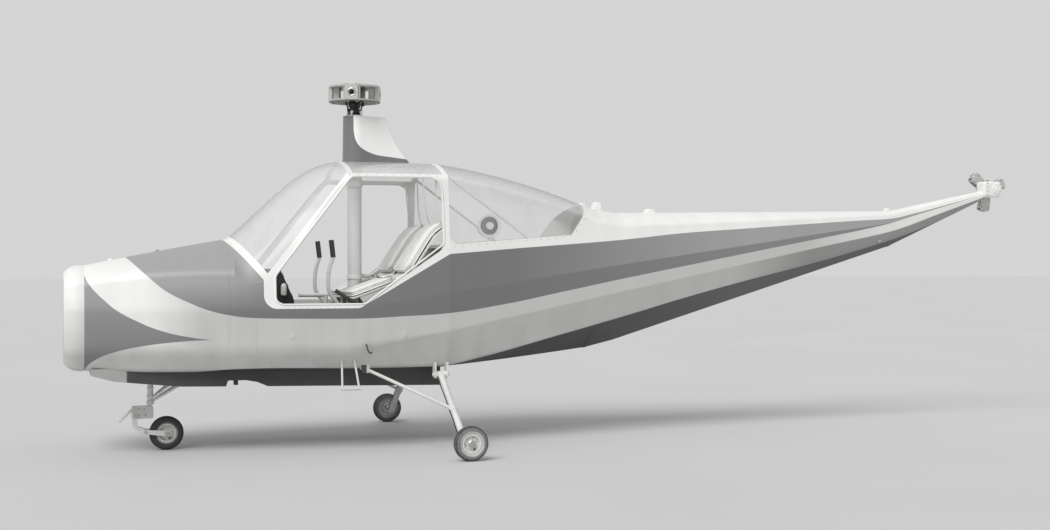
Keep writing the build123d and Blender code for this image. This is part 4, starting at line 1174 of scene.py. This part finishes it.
head, links = bmesh.new(), bmesh.new()
for arm in range(4):
    turn = HUB_TURN + 90 * arm
    for radius, off, size in PLATE_BOLTS:
        bolt(head, polar(radius, turn + off, HUB_HIGH - 0.0005), UP, size)
        bolt(head, polar(radius, turn + off, HUB_LOW + 0.0005), DOWN, size)
    out = polar(1, turn, 0, 0)
    lathe(head, polar(0.2235, turn, (HUB_LOW + HUB_HIGH) / 2), out,
          [(-0.002, 0.026), (0.003, 0.026), (0.005, 0.031), (0.003, 0.036), (-0.002, 0.036)], 32)
    foot, top = polar(0.060, turn + 34, LINK_FOOT_Z), polar(0.080, turn + 34, HUB_LOW - 0.012)
    pipe(links, [foot, top], 0.0065, 12)
    pipe(links, [polar(0.040, turn + 34, LINK_FOOT_Z), foot], 0.008, 12)
    pipe(links, [top, top + UP * 0.014], 0.009, 12)
    for spot in (foot, top):
        lathe(links, spot - out * 0.011, out,
              [(0, 0.012), (0.004, 0.0145), (0.018, 0.0145), (0.022, 0.012)], 16, inner=0)
lathe(head, (MAST_X, 0, HUB_HIGH + 0.0055), UP, [(0, 0.046), (0.003, 0.048), (0.007, 0.044)], 6, inner=0)
piece("head_bolts", head, steel, "main_rotor", sharp=30)
piece("pitch_links", links, black_paint, "main_rotor", sharp=40)

cranks = bmesh.new()
lathe(cranks, (MAST_X, 0, 2.868), UP, [(0, 0.080), (0.012, 0.080), (0.016, 0.076)], 48, inner=0.064)
for turn in (-118, -62, 62, 118):
    foot = polar(0.088, turn, 2.874)
    pipe(cranks, [polar(0.074, turn, 2.876), foot, foot + UP * 0.030], 0.008, 12)
    lathe(cranks, foot + Vector((0, -0.010, 0.034)), STARBOARD, [(0, 0.012), (0.020, 0.012)], 16, inner=0)
for degrees in range(0, 360, 30):
    bolt(cranks, polar(0.072, degrees, 2.8835), UP, 0.0034, 0)
piece("swash_cranks", cranks, tube_paint, sharp=35)
print("rotor head dressed")

# %% [markdown]
# ## The tail rotor and its gearbox
# The gearbox halves are joined by studs round the output boss and round a lid on the port side.
# Three links cross from the pitch spider to a horn on each grip, each grip is held between two wide
# cheek plates, and all of them turn with the rotor.

# %% Gearbox studs and lid
TAIL, GEARBOX_HALF = Vector((4.465, 0.140, 2.345)), 0.0695
studs, lid = bmesh.new(), bmesh.new()


def tail_out(degrees, radius, y):
    """A place round the tail rotor's shaft."""
    angle = math.radians(degrees)
    return Vector((TAIL.x + radius * math.cos(angle), y, TAIL.z + radius * math.sin(angle)))


lathe(lid, (4.445, -GEARBOX_HALF, TAIL.z), -STARBOARD,
      [(0, 0.056), (0.005, 0.056), (0.007, 0.052), (0.007, 0.030), (0.012, 0.026)], 40, inner=0)
lathe(studs, (TAIL.x, GEARBOX_HALF, TAIL.z), STARBOARD,
      [(0, 0.0475), (0.005, 0.0475), (0.007, 0.045)], 40, inner=0.034)
for k in range(8):
    bolt(studs, tail_out(k * 45 + 10, 0.0410, 0.0760), STARBOARD, 0.0040, 0)
    bolt(studs, tail_out(k * 45 + 10, 0.0450, -0.0760) + Vector((-0.020, 0, 0)), -STARBOARD, 0.0045, 0)
lathe(studs, (4.385, 0, 2.420), UP,
      [(0, 0.020), (0.008, 0.020), (0.010, 0.016), (0.018, 0.016), (0.020, 0.012)], 6, inner=0)
for z in (2.285, 2.320, 2.365, 2.400):
    for side in SIDES:
        bolt(studs, (4.335, side * GEARBOX_HALF, z), (0, side, 0), 0.0045)
piece("gearbox_studs", studs, steel, sharp=30)
piece("gearbox_lid", lid, white_paint, sharp=30)
print("gearbox dressed")

# %% [markdown]
# The three grips are alike, so one loop fits them all. Each takes its link and horn, two cheek
# plates with spacers and bolts between them, a band round each end and two lock screws.

# %% Tail rotor grips
CHEEK = [(0.062, 0.034), (0.080, 0.046), (0.190, 0.056), (0.216, 0.050), (0.219, 0.030)]
CHEEK += [(radius, -wide) for radius, wide in reversed(CHEEK)]
CHEEK_LEVELS = ((0, 1), (0.0015, 1.03), (0.0065, 1.03), (0.008, 1))
tail_links, cuffs = bmesh.new(), bmesh.new()
for number in range(3):
    turn = 20 + 120 * number
    tip, horn = tail_out(turn + 30, 0.070, 0.192), tail_out(turn + 17, 0.118, 0.170)
    grip_axis = (tail_out(turn, 1, 0) - tail_out(turn, 0, 0)).normalized()
    across = grip_axis.cross(STARBOARD)
    pipe(tail_links, [tip, horn], 0.0045)
    pipe(tail_links, [horn, tail_out(turn, 0.118, 0.150)], 0.007)
    for spot in (tip, horn):
        lathe(tail_links, spot - STARBOARD * 0.009, STARBOARD, [(0, 0.009), (0.018, 0.009)], 14, inner=0)
    for level in (0.106, 0.166):
        join_rings(cuffs, [[tail_out(turn, radius, level + off) + across * (wide * share)
                            for radius, wide in CHEEK] for off, share in CHEEK_LEVELS])
    for radius, wide in ((0.100, 0.038), (0.100, -0.038), (0.186, 0.042), (0.186, -0.042)):
        spot = tail_out(turn, radius, 0.112) + across * wide
        pipe(cuffs, [spot, spot + STARBOARD * 0.056], 0.010, 14)
        bolt(tail_links, spot - STARBOARD * 0.006, -STARBOARD, 0.0075)
        bolt(tail_links, spot + STARBOARD * 0.062, STARBOARD, 0.0075)
    for radius in (0.060, 0.208):
        lathe(tail_links, tail_out(turn, radius, TAIL.y), grip_axis,
              [(0, 0.0340), (0.014, 0.0340), (0.016, 0.0320)], 32, inner=0.0295)
    for off in (-0.010, 0.010):
        spot = tail_out(turn, 0.216, TAIL.y) + STARBOARD * 0.0335 + across * off
        bolt(tail_links, spot, STARBOARD, 0.0045, 0)
bolt(tail_links, (TAIL.x, 0.2075, TAIL.z), STARBOARD, 0.012)
piece("tail_links", tail_links, steel, "tail_rotor", sharp=35)
piece("grip_cheeks", cuffs, head_alloy, "tail_rotor", sharp=35)
print("tail dressed")

# %% [markdown]
# ## Wheels, brakes and landing gear
# Each wheel has a ring of bolts through its halves and a dark hole for the valve, and a main wheel
# also a dust cap. A fixed brake drum sits inboard of it, fed by a pipe down the leg.

# %% Wheel fittings
VALVE = Vector((0.040 * math.cos(0.9), 0, -0.056 * math.sin(0.9)))


def spoke(angle, radius):
    """A step away from an axle, in side view."""
    return Vector((math.cos(angle) * radius, 0, math.sin(angle) * radius))


for name, (place, _, body) in TYRES.items():
    bolts, holes = bmesh.new(), bmesh.new()
    for side in ((-1, 1) if body == "nose_wheel" else (math.copysign(1, place[1]),)):
        out = STARBOARD * side
        if body != "nose_wheel":
            lathe(bolts, Vector(place) + out * 0.034, out,
                  [(0, 0.031), (0.004, 0.031), (0.008, 0.026), (0.010, 0.012)], 32, inner=0)
        web = Vector(place) + out * 0.0103
        for k in range(6):
            bolt(bolts, web + spoke(math.tau * (k + 0.25) / 6, 0.047), out, 0.0048)
        lathe(holes, web + VALVE, out,
              [(-0.002, 0.0085), (0.0022, 0.0085), (0.003, 0.0065), (0.0005, 0.0060)], 20, inner=0)
    piece(name.replace("tyre", "wheel_bolts"), bolts, steel, body, sharp=30)
    piece(name.replace("tyre", "valve_hole"), holes, black_paint, body)
print("wheels dressed")

# %% [markdown]
# Everything on a main leg is worked out once, for starboard, and mirrored for port: the drum with
# its bolts, the pipe down the leg, the clips that hold it, the leg's middle joint and its end bolts.

# %% Brakes and main gear fittings
LEG_TOP, LEG_FOOT = Vector((MAIN_X, 0.570, 0.622)), Vector((MAIN_X, 1.310, 0.140))
DOWN_LEG = (LEG_FOOT - LEG_TOP).normalized()
LEG_JOINT = LEG_TOP.lerp(LEG_FOOT, 0.54)
PIPE_OFF, LEG_R = Vector((-0.0335, 0, 0)), 0.0265
drums, hoses, gear_bolts = bmesh.new(), bmesh.new(), bmesh.new()


def mirrored(point, side):
    """A starboard place or direction, taken to one side."""
    return Vector((point[0], side * point[1], point[2]))


line = [LEG_TOP + PIPE_OFF + Vector((0, -0.02, 0.06))]
line += [LEG_TOP + DOWN_LEG * (0.04 + 0.84 * k / 6) + PIPE_OFF - Vector((0.003 * (k % 2), 0, 0))
         for k in range(7)]
line += [(-1.650, 1.30, 0.150), (-1.655, 1.36, 0.160), (-1.645, 1.398, 0.165)]
for side in SIDES:
    out, down = STARBOARD * side, mirrored(DOWN_LEG, side)
    lathe(drums, mirrored((MAIN_X, 1.396, MAIN_R), side), out,
          [(0, 0.050), (0.006, 0.062), (0.034, 0.062), (0.036, 0.058)], 48, inner=0.030)
    for k in range(8):
        place = mirrored((MAIN_X, 1.3975, MAIN_R), side) + spoke(math.tau * k / 8, 0.044)
        bolt(drums, place, -out, 0.0045)
    pipe(hoses, smooth_path([mirrored(point, side) for point in line], 6), 0.0045, 8)
    for share in (0.12, 0.36, 0.60, 0.84):
        spot = mirrored(LEG_TOP.lerp(LEG_FOOT, share), side)
        lathe(gear_bolts, spot - down * 0.007, down, [(0, 0.0292), (0.014, 0.0292)], 32, inner=LEG_R)
    joint = mirrored(LEG_JOINT, side)
    lathe(gear_bolts, joint - down * 0.024, down,
          [(0, 0.0310), (0.004, 0.0325), (0.044, 0.0325), (0.048, 0.0310)], 36, inner=LEG_R)
    bolt(gear_bolts, joint + Vector((-0.029, 0, 0)), (-1, 0, 0), 0.012)
    for away in (-1, 1):
        bolt(gear_bolts, mirrored((MAIN_X + away * 0.060, 0.570, 0.622), side), (away, 0, 0), 0.015)
    bolt(gear_bolts, mirrored((-2.297, 0.540, 0.690), side), (-1, 0, 0), 0.010)
    bolt(gear_bolts, mirrored((MAIN_X, 1.350, 0.172), side), UP, 0.010)
piece("brake_drums", drums, cast_alloy, sharp=30)
piece("brake_pipes", hoses, black_paint, sharp=60)
piece("gear_bolts", gear_bolts, gear_paint, sharp=30)
print("main gear dressed")

# %% [markdown]
# The nose fork has bolts at its axle, its arms and its tow handle, and four more in the crosshead.
# Collars stand one above the other on the strut, which does not turn.

# %% Nose gear fittings
FORK_BOLTS = [  # x, distance from the middle, z, size
    (-4.032, 0.0745, 0.160, 0.0085), (NOSE_AXLE[0], 0.0695, NOSE_AXLE[2], 0.0150),
    (-4.118, 0.065, 0.294, 0.0130),
]
COLLARS = [  # height, length, radius
    (0.392, 0.026, 0.031), (0.446, 0.020, 0.029), (0.520, 0.014, 0.027), (0.566, 0.018, 0.034),
]
fork_bolts, strut_bits = bmesh.new(), bmesh.new()
for side in SIDES:
    for x, y, z, size in FORK_BOLTS:
        bolt(fork_bolts, (x, side * y, z), (0, side, 0), size, 1.3)
    for x, z in ((-4.085, 0.350), (-4.040, 0.350), (-4.085, 0.300), (-4.030, 0.300)):
        bolt(fork_bolts, (x, side * 0.0255, z), (0, side, 0), 0.0065)
for z, tall, wide in COLLARS:
    lathe(strut_bits, (-3.990, 0, z), UP,
          [(0, wide), (tall * 0.2, wide + 0.001), (tall * 0.8, wide + 0.001), (tall, wide)],
          36, inner=0.0235)
piece("fork_bolts", fork_bolts, steel, "nose_fork", sharp=30)
piece("strut_collars", strut_bits, gear_paint, sharp=30)
print("nose gear dressed")

# %% [markdown]
# ## Inside the cabin
# The pedestal carries nine round dials without marks on its sloping face and two knobs on its top.
# The mast has a bolted collar on the floor and two more further up.

# %% Dials and mast collars
SLOPE, SLOPE_OUT = Vector((-0.120, 0, 0.270)), Vector((0.914, 0, 0.406))
dials, faces, collars = bmesh.new(), bmesh.new(), bmesh.new()
for row, share in enumerate((0.18, 0.50, 0.82)):
    for y in (-0.092, 0.0, 0.092):
        spot, angle = Vector((-2.800, y, 1.260)) + SLOPE * share, row + y * 20
        lathe(dials, spot, SLOPE_OUT,
              [(-0.002, 0.030), (-0.002, 0.037), (0.006, 0.037), (0.009, 0.033), (0.007, 0.030)], 32)
        lathe(faces, spot, SLOPE_OUT, [(0, 0.031), (0.002, 0.031)], 32, inner=0)
        needle = SLOPE.normalized() * math.cos(angle) + STARBOARD * math.sin(angle)
        pivot = spot + SLOPE_OUT * 0.0035
        pipe(dials, [pivot - needle * 0.006, pivot + needle * 0.022], 0.0012, 6)
for y in (-0.07, 0.07):
    lathe(dials, (-2.905, y, 1.5295), UP,
          [(0, 0.010), (0.016, 0.008), (0.020, 0.011), (0.028, 0.011), (0.032, 0.006)], 20, inner=0)
piece("dial_rims", dials, bright_steel)
piece("dial_faces", faces, black_plastic)

for z, tall, wide in ((1.080, 0.020, 0.095), (1.440, 0.034, 0.070), (2.250, 0.050, 0.070)):
    lathe(collars, (MAST_X, 0, z), UP, [(0, wide), (tall * 0.7, wide), (tall, 0.066)], 48, inner=0.0615)
for degrees in range(0, 360, 45):
    bolt(collars, polar(0.084, degrees, 1.094), UP, 0.0065)
piece("mast_collars", collars, mast_paint, sharp=30)
print("dials and collars on")

# %% [markdown]
# Thin side plates close the space under each pan. Each is one outline, given a thickness, with a
# rolled edge along its free sides and three rivets where it meets the pan. A grip stands beside
# the pedestal.

# %% Seat skirts and grip
SKIRT = [(-2.318, 1.304), (-1.990, 1.420), (-1.975, 1.090), (-2.215, 1.090), (-2.262, 1.215)]
skirts, grip = bmesh.new(), bmesh.new()
for seat_y in SEAT_Y.values():
    for hand in (-1, 1):
        flat = seat_y + hand * 0.2435
        join_rings(skirts, [[(x, flat + hand * off, z) for x, z in SKIRT] for off in (-0.001, 0.001)])
        pipe(skirts, [(x, flat, z) for x, z in SKIRT[2:] + SKIRT[:1]], 0.0045, 8)
        for x in (-2.27, -2.16, -2.05):
            z = 1.296 + (x + 2.318) * 0.354
            rivet(skirts, Vector((x, flat + hand * 0.001, z)), Vector((0, hand, 0)), 0.005)
piece("seat_skirts", skirts, mast_paint)

lathe(grip, (-2.893, -0.172, 1.300), UP, [(0, 0.016), (0.008, 0.023), (0.030, 0.025), (0.078, 0.024),
                                          (0.098, 0.018), (0.106, 0.008)], 28, inner=0)
pipe(grip, [(-2.893, -0.120, 1.330), (-2.893, -0.168, 1.330)], 0.009, 12)
piece("pedestal_grip", grip, tube_paint)
print("skirts and grip on")

# %% [markdown]
# ## The cooling fan
# Behind the grille bars a fan faces the intake, in front of the engine. Its twelve blades are thin
# bars whose pitch eases from root to tip.

# %% Cooling fan
FAN = Vector((-4.385, 0, 1.10))
BLADE = [(0.060, 0.034, 0.7), (0.130, 0.040, 0.5), (0.205, 0.044, 0.35)]  # radius, chord, pitch
fan = bmesh.new()
lathe(fan, (-4.332, 0, FAN.z), (-1, 0, 0),
      [(0, 0), (0, 0.070), (0.060, 0.070), (0.085, 0.052), (0.095, 0.020), (0.096, 0)], 36)
for k in range(12):
    angle = math.tau * k / 12
    out = Vector((0, math.cos(angle), math.sin(angle)))
    across = Vector((0, -math.sin(angle), math.cos(angle)))
    sections = []
    for radius, chord, pitch in BLADE:
        lean = across * math.cos(pitch) + Vector((1, 0, 0)) * math.sin(pitch)
        fore, thin = lean * chord / 2, lean.cross(out) * 0.0015
        sections.append([FAN + out * radius + fore * a + thin * b
                         for a, b in ((-1, -1), (1, -1), (1, 1), (-1, 1))])
    join_rings(fan, sections)
piece("cooling_fan", fan, cast_alloy, sharp=40)
print("fan dressed")

# %% Close
size = {"cad": [list(corner) for corner in cad_box], "visual": [list(corner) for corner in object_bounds()]}
